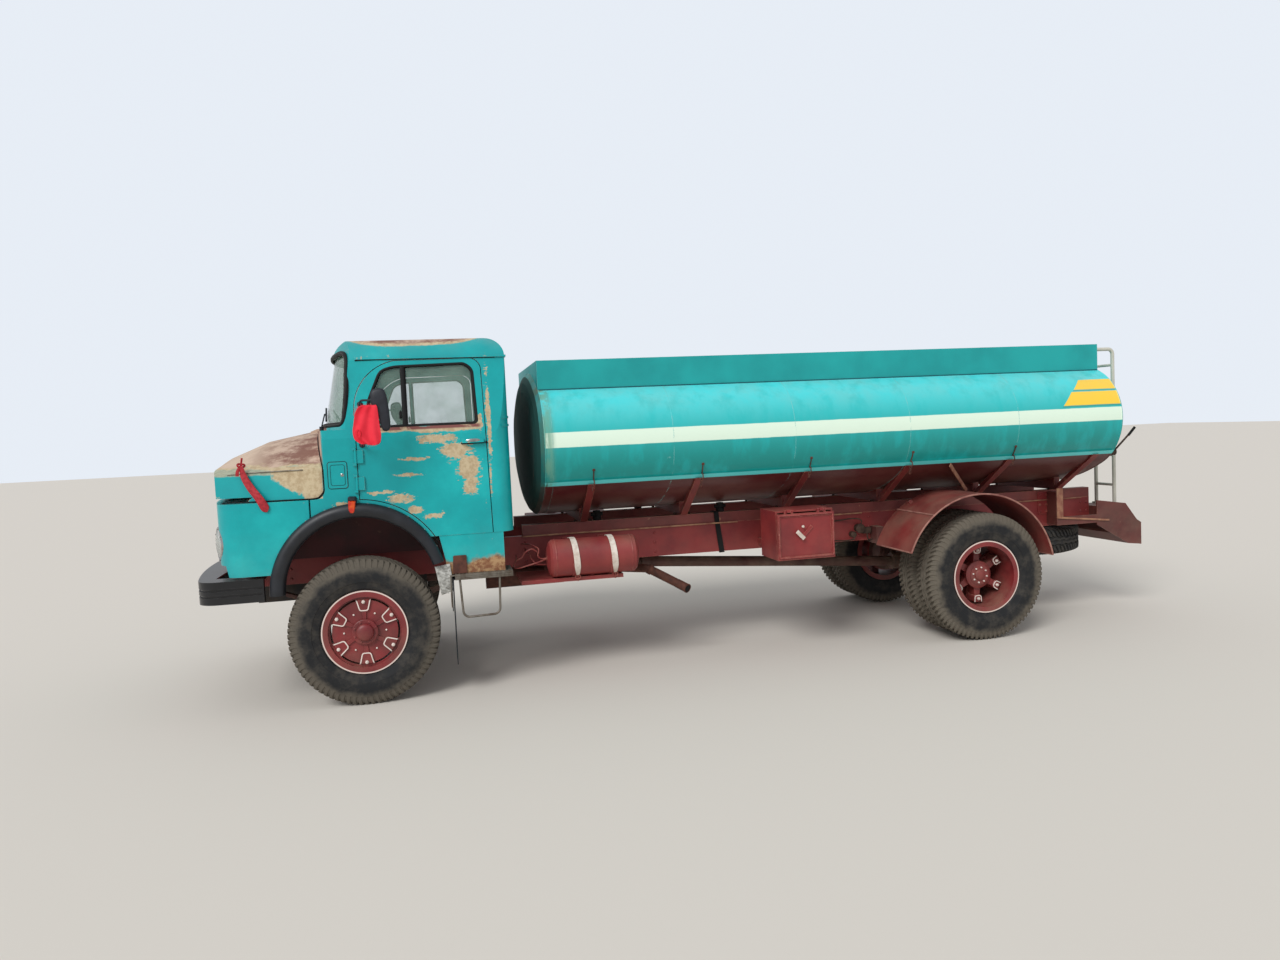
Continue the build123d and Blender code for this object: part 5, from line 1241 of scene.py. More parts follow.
def mirrorShapes():
    # the housing is its outline shrunk in steps from the open glass side to the domed back
    edge = smoothPath(mirrorLook["outline"], 4, closed=True)
    middle = edge.mean(0)
    rings = [onFace(middle + (edge - middle) * shrink, y) for shrink, y in mirrorLook["steps"]]
    housing = (np.concatenate(rings), tubeFaces(len(rings), len(edge)))
    glass = prism(middle + (edge - middle) * 0.88, -1319, -1316.6, 1)
    arms = []
    for (x, z), (endX, endZ) in mirrorLook["arms"]:
        start = (x, -float(cabSide(z)) - 1, z)
        route = [start, (x + 20, -1180, z + 20), (endX - 30, -1290, endZ - 25), (endX, -1322, endZ)]
        arms.append(rod(route, 8, sides=10))
        arms.append(turnedAt([(20, -2), (20, 4), (15, 10), (8, 14)], start, (0, -1, 0.05), 18))
        arms.append(turnedAt([(13, -10), (13, 6), (9, 11), (0, 12)], (endX, -1322, endZ), (0, -1, 0), 14))
    return joinShapes(housing, *arms), glass


def makeMirrors():
    body, glass = mirrorShapes()
    for side in ("left", "right"):
        door = f"door_{side}"
        piece = meshPiece(f"mirrorBody_{side}", forSide(side, body), "plastic", door, sharp=50)
        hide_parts(f"mirror_{side}")
        meshPiece(f"mirrorGlass_{side}", forSide(side, glass), "mirror", door)


clothLook = {
    # the cloth's outline from its fold at the top down: height, front x, rear x
    "rows": [(2078, 92, 186), (2062, 70, 192), (2030, 52, 194), (1990, 42, 196), (1950, 34, 199),
             (1915, 27, 203), (1880, 28, 207), (1850, 38, 204), (1828, 62, 198), (1818, 80, 186)],
    "columns": 40, "depth": 8, "folds": 2.3,
}


def makeCloth():
    # a grid over the outline: the distance from the mirror follows soft folds that open downwards,
    # and the front edge rolls round the mirror's arm
    rows = smoothPath(np.array(clothLook["rows"], float), 5)
    u = np.linspace(0, 1, clothLook["columns"])[None]
    v = np.linspace(0, 1, len(rows))[:, None]
    front, rear = rows[:, 1:2], rows[:, 2:3]
    x = front + (rear - front) * u + 2 * np.sin(v * 9 + u * 5) * (u - 0.5)
    z = rows[:, 0:1] + 5 * np.sin(u * 5.5 + 1) * v
    fold = np.sin(u * 2 * math.pi * clothLook["folds"] + 2.2 * np.sin(v * 3.1) + v * 1.7)
    knot = np.exp(-(((x - 62) / 24) ** 2 + ((z - 1895) / 34) ** 2))
    crease = np.sin((x * 0.9 + z * 0.45) / 24.0) * 2.2
    depth = clothLook["depth"] * (0.35 + 0.65 * v) * fold + crease + 10 * knot
    y = -1369 - depth
    over = np.clip((0.10 - v) / 0.10, 0, 1)
    y = y + 22 * over ** 2
    points = together(x, y, z + 0 * u)
    count, columns = points.shape[:2]
    # a slightly frayed lower edge
    points[-1, :, 2] += np.sin(np.arange(columns) * 2.4) * 2 - 2
    shape = (points.reshape(-1, 3), gridFaces(count, columns))
    piece = meshPiece("mirrorCloth", shape, "redCloth", "door_left", sharp=80, closed=False)
    thick = piece.modifiers.new("clothWall", "SOLIDIFY")
    thick.thickness, thick.offset = 0.0018, 0
    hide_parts("mirror_cloth")
    # short threads along the front edge, the top and the foot
    places = points[3:14, 0] + (1, 0, 0)
    thread = sweep([(0, 0, 0), (-5, -1, 4), (-9, -2, 10)], (0, 1, 0), circle(0.9, 4))
    top = points[0, ::5]
    hanging = (thread[0] * (0.6, 1, -1), thread[1])
    fringe = joinShapes(copies(thread, places), copies(thread, top), copies(hanging, points[-1, ::5]))
    threads = meshPiece("clothFringe", fringe, "redCloth", "door_left")
    # the knot that ties the cloth to the arm
    ring = around(25)
    loop = together(60 + 17 * np.cos(ring), -1387 - 2 * np.sin(ring * 2), 1893 + 25 * np.sin(ring))
    loop = sweep(loop, (0, 1, 0), circle(3.6, 6), True)
    knotRing = meshPiece("clothKnot", loop, "redCloth", "door_left")


ribbonLook = {
    "path": [(-742, -1026, 1712), (-724, -1040, 1636), (-680, -1070, 1558), (-628, -1100, 1488),
             (-598, -1110, 1434), (-580, -1110, 1394)],
    "width": [(0, 9), (0.06, 16), (0.2, 22), (0.6, 27), (0.85, 28), (0.93, 22), (1.0, 3)],
}


def makeRibbon():
    # a strip from its knot over the wing's shoulder: a slight wave across it, its end cut to a point
    path = smoothPath(ribbonLook["path"], 6)
    share = np.linspace(0, 1, len(path))[:, None]
    width = np.interp(share, *np.array(ribbonLook["width"]).T)
    across = unit(np.array((0.87, 0.0, 0.46)))
    lateral = np.linspace(-1, 1, 9)[None, :, None]
    wave = 3.0 * np.sin(share * 14)[..., None] * lateral + 2.0 * (1 - lateral ** 2)
    points = path[:, None] + across * lateral * width[..., None] + np.array((0, -1, 0)) * wave
    shape = (points.reshape(-1, 3), gridFaces(len(path), 9))
    piece = meshPiece("bonnetRibbon", shape, "ribbon", "bonnet", sharp=80, closed=False)
    thick = piece.modifiers.new("ribbonWall", "SOLIDIFY")
    thick.thickness, thick.offset = 0.0015, 0
    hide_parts("bonnet_ribbon")
    # the knot: three small loops, a tip that stands up and a short tail beside the strip
    loops = []
    for tilt, size in ((0.4, 26), (2.4, 24), (4.3, 20)):
        turn = around(14)
        reach = size * (0.55 + 0.45 * np.cos(turn))
        x = -743 + reach * math.cos(tilt) - 9 * np.sin(turn) * math.sin(tilt)
        z = 1706 + reach * math.sin(tilt) + 9 * np.sin(turn) * math.cos(tilt)
        loops.append(sweep(together(x, -1024 - 5 * np.sin(turn), z), (0, -1, 0), slab(14, -1, 1, 0.4), True))
    tip = sweep(smoothPath([(-741, -1020, 1712), (-739, -1012, 1740), (-736, -1004, 1764)], 4), (0.4, -1, 0),
                slab(13, -1, 1, 0.4))
    stub = sweep(smoothPath([(-748, -1026, 1702), (-764, -1036, 1672), (-766, -1040, 1642)], 4), (0, -1, 0),
                 slab(22, -1, 1, 0.4))
    knot = meshPiece("ribbonKnot", joinShapes(*loops, tip, stub), "ribbon", "bonnet", sharp=60)


makeMirrors()
makeCloth()
makeRibbon()
print("mirrors, cloth and ribbon made")


# seats, dashboard and steering wheel
seatLook = {
    "cushions": {"driver": (-880, -260), "bench": (-230, 880)}, "front": 500, "back": 960, "low": 1331,
    "high": 1452, "margin": 16, "restFoot": (985, 1464), "restTall": 425, "restThick": 78, "restLean": 5,
    "push": 4.0, "cap": 0.024, "voxel": 0.015, "steps": 20, "channel": 110, "channelDepth": 7,
}


def padMesh(low, high, crown):
    # a rounded box: each level is a superellipse with power 0.22, pulled in at top and foot, and the
    # top's rings rise by crown times 1 minus their share squared
    rows, columns, power = 15, 64, 0.22
    ring = together(np.cos(around(columns)), np.sin(around(columns)))
    ring = np.sign(ring) * np.abs(ring) ** power
    level = np.linspace(0, 1, rows)
    pull = 1 - 0.05 * np.abs(2 * level - 1) ** 3 - 0.10 * np.clip((level - 0.93) / 0.07, 0, 1) ** 2
    low, high = np.array(low, float), np.array(high, float)
    half, middle = (high - low)[:2] / 2, (high + low)[:2] / 2
    side = middle + ring[None] * pull[:, None, None] * half
    height = low[2] + (high[2] - low[2]) * level
    points = np.concatenate([side, np.broadcast_to(height[:, None, None], (rows, columns, 1))], -1)
    # further rings close the top over a crown, and one closes the foot flat
    shares = np.array((0.82, 0.62, 0.42, 0.22, 0.08))
    top = middle + ring[None] * shares[:, None, None] * half * pull[-1]
    rise = high[2] + crown * (1 - shares[:, None, None] ** 2)
    cap = np.concatenate([top, np.broadcast_to(rise, (len(shares), columns, 1))], -1)
    return np.concatenate([points, cap]).reshape(-1, 3), tubeFaces(rows + len(shares), columns)


def inflate(piece):
    # the pad is remeshed to even quads and swollen by cloth pressure; no point may move past the cap
    bpy.context.view_layer.objects.active = piece
    remesh = piece.modifiers.new("evenQuads", "REMESH")
    remesh.mode, remesh.voxel_size = "VOXEL", seatLook["voxel"]
    bpy.ops.object.select_all(action="DESELECT")
    piece.select_set(True)
    bpy.ops.object.modifier_apply(modifier=remesh.name)
    mesh = piece.data
    start = np.empty(len(mesh.vertices) * 3)
    mesh.vertices.foreach_get("co", start)
    cloth = piece.modifiers.new("swell", "CLOTH")
    cloth.settings.use_pressure = True
    cloth.settings.uniform_pressure_force = seatLook["push"]
    cloth.settings.effector_weights.gravity = 0
    cloth.settings.quality = 5
    cloth.point_cache.frame_start, cloth.point_cache.frame_end = 1, seatLook["steps"]
    scene = bpy.context.scene
    for frameNumber in range(1, seatLook["steps"] + 1):
        scene.frame_set(frameNumber)
    solved = piece.evaluated_get(bpy.context.evaluated_depsgraph_get()).to_mesh()
    swollen = np.empty(len(solved.vertices) * 3)
    solved.vertices.foreach_get("co", swollen)
    piece.modifiers.remove(cloth)
    move = (swollen - start).reshape(-1, 3)
    size = np.linalg.norm(move, axis=1, keepdims=True)
    move *= np.minimum(1, seatLook["cap"] / np.maximum(size, 1e-9))
    mesh.vertices.foreach_set("co", (start.reshape(-1, 3) + move).ravel())
    mesh.update()
    scene.frame_set(1)


def sewChannels(piece, low, high, outward):
    # grooves at equal steps across the truck: the nearer to a step, the deeper, and only points on
    # the outward side sink
    mesh = piece.data
    count = len(mesh.vertices)
    place, normal = np.empty(count * 3), np.empty(count * 3)
    mesh.vertices.foreach_get("co", place)
    mesh.vertices.foreach_get("normal", normal)
    place, normal = place.reshape(-1, 3), normal.reshape(-1, 3)
    along = fromFrame(place)[:, 1]
    count = max(2, round((high - low) / seatLook["channel"]))
    phase = (along - low) / (high - low) * count
    groove = np.exp(-((phase - np.round(phase)) * (high - low) / count / 9) ** 2)
    inside = np.clip((along - low) / 30, 0, 1) * np.clip((high - along) / 30, 0, 1)
    sink = seatLook["channelDepth"] / 1000 * groove * inside * np.clip(normal @ np.array(outward, float), 0, 1)
    mesh.vertices.foreach_set("co", (place - normal * sink[:, None]).ravel())
    mesh.update()


def makeSeats():
    pads = []
    margin = seatLook["margin"]
    foot, lean = seatLook["restFoot"], math.radians(seatLook["restLean"])
    for key, (low, high) in seatLook["cushions"].items():
        shape = padMesh((seatLook["front"] + margin, low + margin, seatLook["low"] + margin * 0.6),
                        (seatLook["back"] - margin, high - margin, seatLook["high"] - margin), 12)
        base = meshPiece(f"seatCushion_{key}", shape, "seat", sharp=80)
        # the backrest is the same pad stood up: its thickness runs along x and it leans back
        far = (seatLook["restTall"] - margin, high - margin, seatLook["restThick"] - margin)
        points, faces = padMesh((margin, low + margin, margin * 0.6), far, 10)
        up, y, out = points.T
        stood = together(foot[0] - out * math.cos(lean) + up * math.sin(lean) * 0.9, y,
                         foot[1] + up * math.cos(lean) + out * math.sin(lean))
        rest = meshPiece(f"seatBack_{key}", (stood, faces), "seat", sharp=80)
        pads += [(base, low, high, (0, 0, 1)), (rest, low, high, (-1, 0, 0.08))]
    for piece, low, high, outward in pads:
        inflate(piece)
        sewChannels(piece, low, high, outward)
        fine = piece.modifiers.new("fineSkin", "SUBSURF")
        fine.levels = fine.render_levels = 1
    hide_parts("seats")
    print("seats made")


dashLook = {
    "dials": [(-560, 52, 43), (-440, 52, 43), (-350, 30, 22), (-640, 30, 22)],  # y, radius, face's radius
    "switches": (-240, -190, -140, -90),
}


def makeDashboard():
    # round dials, a row of switches, a glove box lid and the steering wheel's hub
    dials, marks = [], []
    for y, radius, inner in dashLook["dials"]:
        place, direction = (137, y, 1795), (1, 0, 0.18)
        ring = [(radius, -4), (radius, 8), (radius - 4, 11), (radius - 8, 7), (radius - 8, 1), (0, 1)]
        dials.append(turnedAt(ring, place, direction, 28))
        mark = block((-1, 1), (inner * 0.72, inner * 0.9), (1.4, 2.2), 0.2)
        turns = np.stack([spun("Z", degrees - 90) for degrees in np.linspace(-45, 225, 11)])
        needle = block((-1, 1), (-4, inner * 0.7), (2.4, 3.4), 0.2)
        marks.append(lay(joinShapes(copies(mark, np.zeros((11, 3)), turns), needle), place, direction))
    switch = turnedAt([(9, -3), (9, 10), (6, 16), (0, 17)], (0, 0, 0), (1, 0, 0.1), 12)
    switches = copies(switch, [(138, y, 1760) for y in dashLook["switches"]])
    latch = turnedAt([(12, 0), (12, 6), (8, 10), (0, 10)], (141, 475, 1780), (1, 0, 0), 16)
    meshPiece("dashDials", joinShapes(*dials, switches, latch), "chrome")
    meshPiece("dialMarks", joinShapes(*marks), "whiteMark")
    meshPiece("gloveLid", block((130, 142), (250, 700), (1690, 1800), 4), "plastic")
    hub = turnedAt([(34, -6), (34, 12), (26, 20), (0, 24)], (330, -470, 1800), (0.469, 0, 0.883), 24)
    meshPiece("wheelHub", hub, "plastic")
    print("dashboard made")


makeSeats()
makeDashboard()


# tank details
tankTrim = {
    "front": 1322, "rear": 6176, "half": 1045, "centre": 1750, "rise": 580, "sideRadius": 430,
    "seams": (2290, 3260, 4230, 5200), "hooks": (1680, 2520, 3400, 4270, 5195),
    "cradles": (1670, 2500, 3390, 4260, 5185, 6000),
    "hookEnd": [(4, -966, 1472), (5, -972, 1452), (5, -968, 1434), (-2, -958, 1426), (-10, -962, 1434)],
    "manholeX": 3000, "lidTop": 2376.5, "coamingFoot": (760, 2161), "linkTurn": 14,
    "bearerTop": 1115, "boltY": 390, "pipeZ": 1290, "handWheelX": 6290, "handWheelRadius": 84,
     "fittings": [(1788, -392), (2828, -392), (2300, 392)],
}


def ovalPath(grow=0.0):
    # the tank's section as (y, z) points: two side arcs of 430 mm and a large arc above and below them
    side, half, rise = tankTrim["sideRadius"] + grow, tankTrim["half"] + grow, tankTrim["rise"] + grow
    offset = half - side
    big = (offset ** 2 + rise ** 2 - side ** 2) / (2 * (rise - side))
    joint = math.asin((big - rise) / (big - side))
    turn = np.linspace(-joint, joint, 22)
    right = together(offset + side * np.cos(turn), side * np.sin(turn))
    reach = math.pi / 2 - joint
    over = np.linspace(-reach, reach, 44)[1:-1]
    top = together(-big * np.sin(over), big * np.cos(over) - (big - rise))
    return np.concatenate([right, top, -right, -top]) + (0, tankTrim["centre"])


def ovalY(z, grow=0.0):
    # half width of the tank at a height within its side arcs
    side = tankTrim["sideRadius"] + grow
    reach = np.asarray(z, float) - tankTrim["centre"]
    return tankTrim["half"] + grow - side + np.sqrt(side ** 2 - reach ** 2)


def makeTankTrim():
    front, rear, oval = tankTrim["front"], tankTrim["rear"], ovalPath()
    ring, outward = (np.insert(section, 0, 0.0, 1) for section in (oval, ovalPath(1.0) - oval))
    rims = [sweep(ring + (x, 0, 0), outward, circle(radius, 8, 0.6), True)
            for x, radius in ((front + 5, 6), (rear - 5, 6), (front + 62, 3.5))]
    seams = [sweep(ring + (x, 0, 0), outward, circle(4, 6, 0.3), True) for x in tankTrim["seams"]]
    meshPiece("tankWelds", joinShapes(*rims, *seams), "tank", sharp=60)
    # a dark bead at the coaming's foot, on the outside: painted shade for the shadow gap under the coaming
    y, z = tankTrim["coamingFoot"]
    feet = [sweep([(x, side * y, z) for x in (front + 6, 3700, rear - 6)], (0, side, 0.4), circle(5, 8))
            for side in (-1, 1)]
    meshPiece("coamingFootShade", joinShapes(*feet), "seamShade", sharp=60)
    # rusty hooks hang over the side strip, each with a ring or two of chain
    hooks, links = [], []
    height = np.array([1548, 1520, 1490, 1474])
    for number, x in enumerate(tankTrim["hooks"]):
        run = together(x + np.arange(4), -ovalY(height) - 5, height)
        over = [(x + dx, y, z) for dx, y, z in tankTrim["hookEnd"]]
        hooks.append(rod(np.concatenate([run, over]), 4.5, (1, 0, 0), 4))
        side = -float(ovalY(height[0]))
        hooks.append(block((x - 9, x + 11), (side - 7, side + 2), (1540, 1558), 2))
        turn = around(tankTrim["linkTurn"])
        loop = together(8 * np.cos(turn), 0.0, 13 * np.sin(turn))
        for step in range(2 + number % 2):
            link = (loop, loop[:, [1, 0, 2]])[step % 2] + (x - 8 - 3 * step, -964, 1420 - 17 * step)
            links.append(sweep(link, (0.3, 1, 0.2), circle(2.4, 6), True))
    meshPiece("stripHooks", bothSides(joinShapes(*hooks, *links)), "exhaust")
    # foot bolts of the cradles and the dark fittings seen between tank and bearer
    top = tankTrim["bearerTop"]
    bolts = [(x + dx, -tankTrim["boltY"], top) for x in tankTrim["cradles"] for dx in (-60, 60)]
    fitting = joinShapes(turned([(30, 0), (34, 6), (34, 30), (24, 38), (24, 62), (30, 68), (30, 78), (0, 82)],
                                18),
                         turnedAt([(15, -46), (15, 46), (11, 50), (0, 50)], (0, 0, 48), (1, 0.1, 0), 12))
    meshPiece("cradleBolts", bothSides(copies(nutShape(13, 20), bolts)), "valve")
    places = [(*place, top) for place in tankTrim["fittings"]]
    meshPiece("bellyFittings", copies(fitting, places), "soot")
    makeManholeTrim()
    makeOutletTrim()
    print("tank details made")


def makeManholeTrim():
    # wing nuts round the lid, a bent handle, a vent cap and a rolled rim
    x, top = tankTrim["manholeX"], tankTrim["lidTop"]
    angles = around(8) + math.radians(22.5)
    places = together(x + 214 * np.cos(angles), 214 * np.sin(angles), top)
    wings = joinShapes(turned([(12, 0), (12, 10), (8, 16), (0, 17)], 12), block((-24, 24), (-3, 3), (6, 20), 2))
    turns = np.stack([spun("Z", degrees) for degrees in np.degrees(angles)])
    bow = np.array([(-150, -62, -1), (-152, -60, 30), (-152, -30, 44), (-152, 30, 44), (-152, 60, 30),
                    (-150, 62, -1)])
    handle = rod(bow + (x, 0, top), 8, (1, 0, 0), 4, 10)
    vent = turnedAt([(30, 0), (30, 14), (40, 16), (40, 34), (26, 42), (0, 44)], (x + 20, 0, top), (0, 0, 1), 24)
    rim = turned([(236, 1), (244, -6), (249, -4), (249, 1), (243, 5), (236, 4)], 48)
    rim = (rim[0] + (x, 0, top - 3), gridFaces(48, 6, True, True))
    shape = joinShapes(copies(wings, places, turns), handle, vent, rim)
    meshPiece("lidFittings", shape, "valve", "manhole_lid")


def makeOutletTrim():
    # flange with bolts, hand wheel on the outlet valve, and the lever's grip on the left
    pipeZ, wheelX, reach = tankTrim["pipeZ"], tankTrim["handWheelX"], tankTrim["handWheelRadius"]
    flange = turnedAt([(92, -10), (92, 8), (70, 12), (58, 12)], (6392, 0, pipeZ), (1, 0, 0), 32)
    turn = around(8)
    places = together(6402, 76 * np.cos(turn), pipeZ + 76 * np.sin(turn))
    bolts = copies(lay(nutShape(9, 12), (0, 0, 0), (1, 0, 0)), places)
    turn = around(32)
    rim = together(wheelX + reach * np.cos(turn), reach * np.sin(turn), 1452)
    wheel = sweep(rim, (0, 0, 1), circle(7, 8), True)
    ends = [(wheelX + reach * math.cos(a), reach * math.sin(a), 1452) for a in (0.5, 2.6, 4.7)]
    spokes = [sweep([(wheelX, 0, 1450), end], (0, 0, 1), circle(5, 6)) for end in ends]
    profile = [(13, 1372), (13, 1462), (20, 1464), (20, 1474), (0, 1478)]
    stem = turnedAt(profile, (wheelX, 0, 0), (0, 0, 1), 14)
    grip = sweep([(6372, -879, 1585), (6401, -880, 1615), (6436, -881, 1652)], (0, 1, 0), circle(11, 10))
    meshPiece("outletFittings", joinShapes(flange, bolts, wheel, *spokes, stem), "valve")
    meshPiece("leverGrip", grip, "soot")


makeTankTrim()


# frame, cylinder, exhaust and toolbox details
frameTrim = {
    "rivetX": [-880, -760, -560, 590, 650, 1200, 2250, 3620, 3680, 3800, 4050, 4150, 5390, 5450, 5600, 6240,
               6300],
    "rivetZ": (830, 905, 985), "webY": -430, "clampX": (3230, 4560, 5850),
    # dusty flanges where bearer and rail meet: front, rear, top
    "lips": [(1180, 2960, 1034), (3560, 4080, 1034), (5420, 6240, 1032)],
    "pipes": [[(4040, -492, 930), (4048, -500, 962), (4020, -500, 985), (3950, -480, 988), (3860, -440, 975),
               (3700, -436, 968), (3560, -436, 966)],
              [(4110, -470, 852), (4112, -476, 812), (4140, -470, 796), (4260, -445, 800), (4420, -437, 830)],
              [(3985, -480, 842), (3978, -486, 812), (3900, -470, 802), (3760, -440, 812), (3600, -436, 830)]],
    # spring packs: x, y, half width, foot and top of the bolts; brake pots: x, y, z, direction
    "springs": [(0, 395, 44, 500, 628), (4830, 505, 47, 548, 730)],
    "pots": [(4640, 330, 560, (-1, 0, 0.2)), (230, 300, 600, (1, 0, 0.3))],
}


def makeFrameTrim():
    web = frameTrim["webY"]
    rivet = turnedAt([(11, -1), (11, 2), (8, 6), (0, 8)], (0, 0, 0), (0, -1, 0), 10)
    clamps = [copies(rivet, [(x, web, z) for x in frameTrim["rivetX"] for z in frameTrim["rivetZ"]])]
    nut = lay(nutShape(11, 13), (0, 0, 0), (0, -1, 0))
    for x in frameTrim["clampX"]:
        # a clamp plate joins rail and bearer, with six bolts
        plate = rounded([(x - 55, 900), (x - 55, 1105), (x + 55, 1105), (x + 55, 900)], 10, 4)
        clamps.append(prism(plate, web, web - 8, 2))
        clamps.append(copies(nut, [(x + dx, web - 8, z) for dx in (-32, 32) for z in (925, 985, 1075)]))
    meshPiece("frameRivets", bothSides(joinShapes(*clamps)), "chassis", sharp=45)
    # dusty tan flange along the joint of rail and bearer, and a tan post behind the left guard
    lips = [block((front, rear), (-447, -428), (1022, top), 1.5) for front, rear, top in frameTrim["lips"]]
    meshPiece("railLips", bothSides(joinShapes(*lips)), "tanMetal")
    post = joinShapes(block((5866, 5930), (-606, -601), (872, 1140), 1.5),
                      sweep([(5873, -608, 880), (6393, -608, 826)], (0, -1, 0), slab(16, -2, 4, 1)))
    strut = sweep([(4632, -935, 1425), (4780, -800, 1315), (4960, -640, 1178)], (0.3, -1, 0),
                  slab(34, -3, 3, 1))
    meshPiece("guardStays", joinShapes(bothSides(strut), post), "tanMetal", sharp=45)
    # a black band over the left rail
    band = smoothPath([(2776, -345, 1119), (2778, -420, 1119), (2780, -436, 1110), (2786, -437, 1040),
                       (2800, -437, 920), (2815, -437, 800), (2820, -434, 784), (2822, -400, 783)], 4)
    out = unit(band - (2800, -380, 950)) * (0, 1, 1)
    meshPiece("railBand", sweep(band, out, slab(42, -1, 4, 1)), "seal")
    # valves and pipes on the left rail ahead of the rear wheels
    tall = [(34, 0), (34, 40), (28, 48), (40, 52), (40, 66), (20, 72), (0, 72)]
    valves = [turnedAt(tall, (4040, web, 900), (0, -1, 0), 20), block((4075, 4150), (-478, web), (850, 905), 6),
              turnedAt([(26, 0), (26, 50), (18, 58), (0, 58)], (3985, web, 850), (0, -1, 0), 16)]
    pipes = [rod(route, 5.5, (0.1, -1, 0.2)) for route in frameTrim["pipes"]]
    meshPiece("railValves", joinShapes(*valves, *pipes), "valve")
    # spring bolts: a bent rod over each pack, twice at each axle
    points, faces = nutShape(14, 18)
    hoops = []
    for x, y, half, low, high in frameTrim["springs"]:
        for bolt in (x - 52, x + 52):
            route = [(-y - half, low), (-y - half, high - 14), (-y - half + 14, high), (-y + half - 14, high),
                     (-y + half, high - 14), (-y + half, low)]
            hoops.append(rod([(bolt, *place) for place in route], 9, (1, 0, 0), 3))
            places = [(bolt, -y - half, low + 4), (bolt, -y + half, low + 4)]
            hoops.append(copies((points * (1, 1, -1), faces), places))
    profile = [(30, -70), (62, -60), (78, -30), (80, 0), (84, 4), (84, 14), (80, 18), (78, 46), (50, 60),
               (0, 62)]
    pots = [turnedAt(profile, (x, -y, z), direction, 24) for x, y, z, direction in frameTrim["pots"]]
    meshPiece("springBolts", bothSides(joinShapes(*hoops, *pots)), "running")
    print("frame details made")


cylinderTrim = {
    "y": 862, "z": 898, "radius": 147, "straps": (1515, 1800), "ends": (1372, 1945),
    # the curled pipes at its front end
    "pipes": [[(1308, -880, 905), (1270, -884, 905), (1246, -890, 930), (1254, -880, 978), (1214, -800, 1000),
               (1180, -620, 990), (1170, -440, 970)],
              [(1323, -820, 850), (1280, -822, 850), (1236, -830, 862), (1206, -800, 900), (1196, -700, 930),
               (1190, -440, 930)],
              [(1308, -884, 900), (1250, -905, 884), (1180, -912, 868), (1096, -905, 850), (1066, -840, 858),
               (1100, -700, 880), (1120, -440, 880)],
              [(1240, -893, 960), (1200, -905, 985), (1150, -900, 960), (1130, -880, 925), (1090, -870, 905)]],
    # the exhaust's clamps: place and direction; its tip's path
    "clamps": [((1560, -309, 706), (1, -0.03, 0)), ((1860, -329, 712), (1, -0.05, 0)),
               ((2140, -700, 728), (290, -12, -170))],
    "tip": [(2352, -709, 604), (2384, -713, 585), (2408, -726, 571), (2424, -748, 562)], "tipRadius": 35.6,
}


def makeCylinderTrim():
    y, z, radius = (cylinderTrim[key] for key in ("y", "z", "radius"))
    turn = np.radians(np.linspace(-42, 152, 34))
    straps, buckles = [], []
    for x in cylinderTrim["straps"]:
        shift = np.linspace(-16, 18, len(turn))
        path = together(x + shift, -y - radius * np.sin(turn), z + radius * np.cos(turn))
        out = together(0.0, -np.sin(turn), np.cos(turn))
        widths = np.interp(np.linspace(0, 1, len(turn)), (0, 0.1, 0.8, 1), (16, 40, 46, 20))
        straps.append(sweep(path, out, bandSections(widths, -1.5, 2.5)))
        end = path[-1]
        ring = together(end[0] + 19 * np.cos(around(18)), end[2] - 14 + 15 * np.sin(around(18)))
        buckles.append(sweep(onFace(ring, end[1] - 2), (0, -1, 0), circle(4, 6), True))
        buckles.append(sweep([end + (0, 0, 6), end + (2, 8, -20), end + (2, 12, -46)], (0, -1, 0),
                             circle(6, 8)))
        buckles.append(lay(nutShape(11, 16), end + (2, 12, -30), (0, 0, -1)))
    meshPiece("cylinderStraps", joinShapes(*straps), "strap", sharp=50)
    # end rims, drain plug, front fittings with four curled pipes
    profile = [(radius - 16, -3), (radius - 6, -3), (radius - 3, 3), (radius - 6, 9), (radius - 16, 9)]
    rims = [turnedAt(profile, (x, -y, z), (1, 0, 0), 40) for x in cylinderTrim["ends"]]
    plug = turnedAt([(16, -4), (16, 10), (10, 12), (10, 20), (0, 22)], (1650, -y, z - 140), (0, 0, -1), 12)
    noses = joinShapes(turnedAt([(26, -20), (26, 12), (16, 18), (16, 34), (0, 36)], (1345, -880, 905),
                                (-1, 0, 0), 14),
                       turnedAt([(16, -10), (16, 16), (10, 26), (0, 27)], (1350, -820, 850), (-1, 0, 0), 12))
    pipes = [rod(route, 5, (0.1, 0.1, 1)) for route in cylinderTrim["pipes"]]
    shape = joinShapes(*rims, plug, *buckles, noses, *pipes)
    meshPiece("cylinderFittings", shape, "chassis")
    # the exhaust's tip turns out to the left, with a pale worn rim round its hole
    tip = smoothPath(cylinderTrim["tip"], 4)
    end, direction = tip[-1], unit(tip[-1] - tip[-2])
    rim = turned([(29, -2), (36, -14), (38, -2), (37, 3), (30, 3)], 28)
    rim = (rim[0], gridFaces(28, 5, True, True))
    pipe = sweep(tip, (0.5, 0, 1), circle(cylinderTrim["tipRadius"], 28))
    meshPiece("exhaustTip", joinShapes(pipe, lay(rim, end, direction)), "exhaust")
    # a black disc closes the hole: the soot inside the pipe, and painted shade for the pipe's dark inside
    mouth = turnedAt([(30, -1), (31, 1.5), (0, 1.5)], end, direction, 28)
    meshPiece("exhaustMouth", mouth, "soot")
    collar = [(30, -14), (40, -14), (40, 14), (30, 14)]
    collars = [turnedAt(collar, place, along, 24) for place, along in cylinderTrim["clamps"]]
    meshPiece("exhaustClamps", joinShapes(*collars), "exhaust")


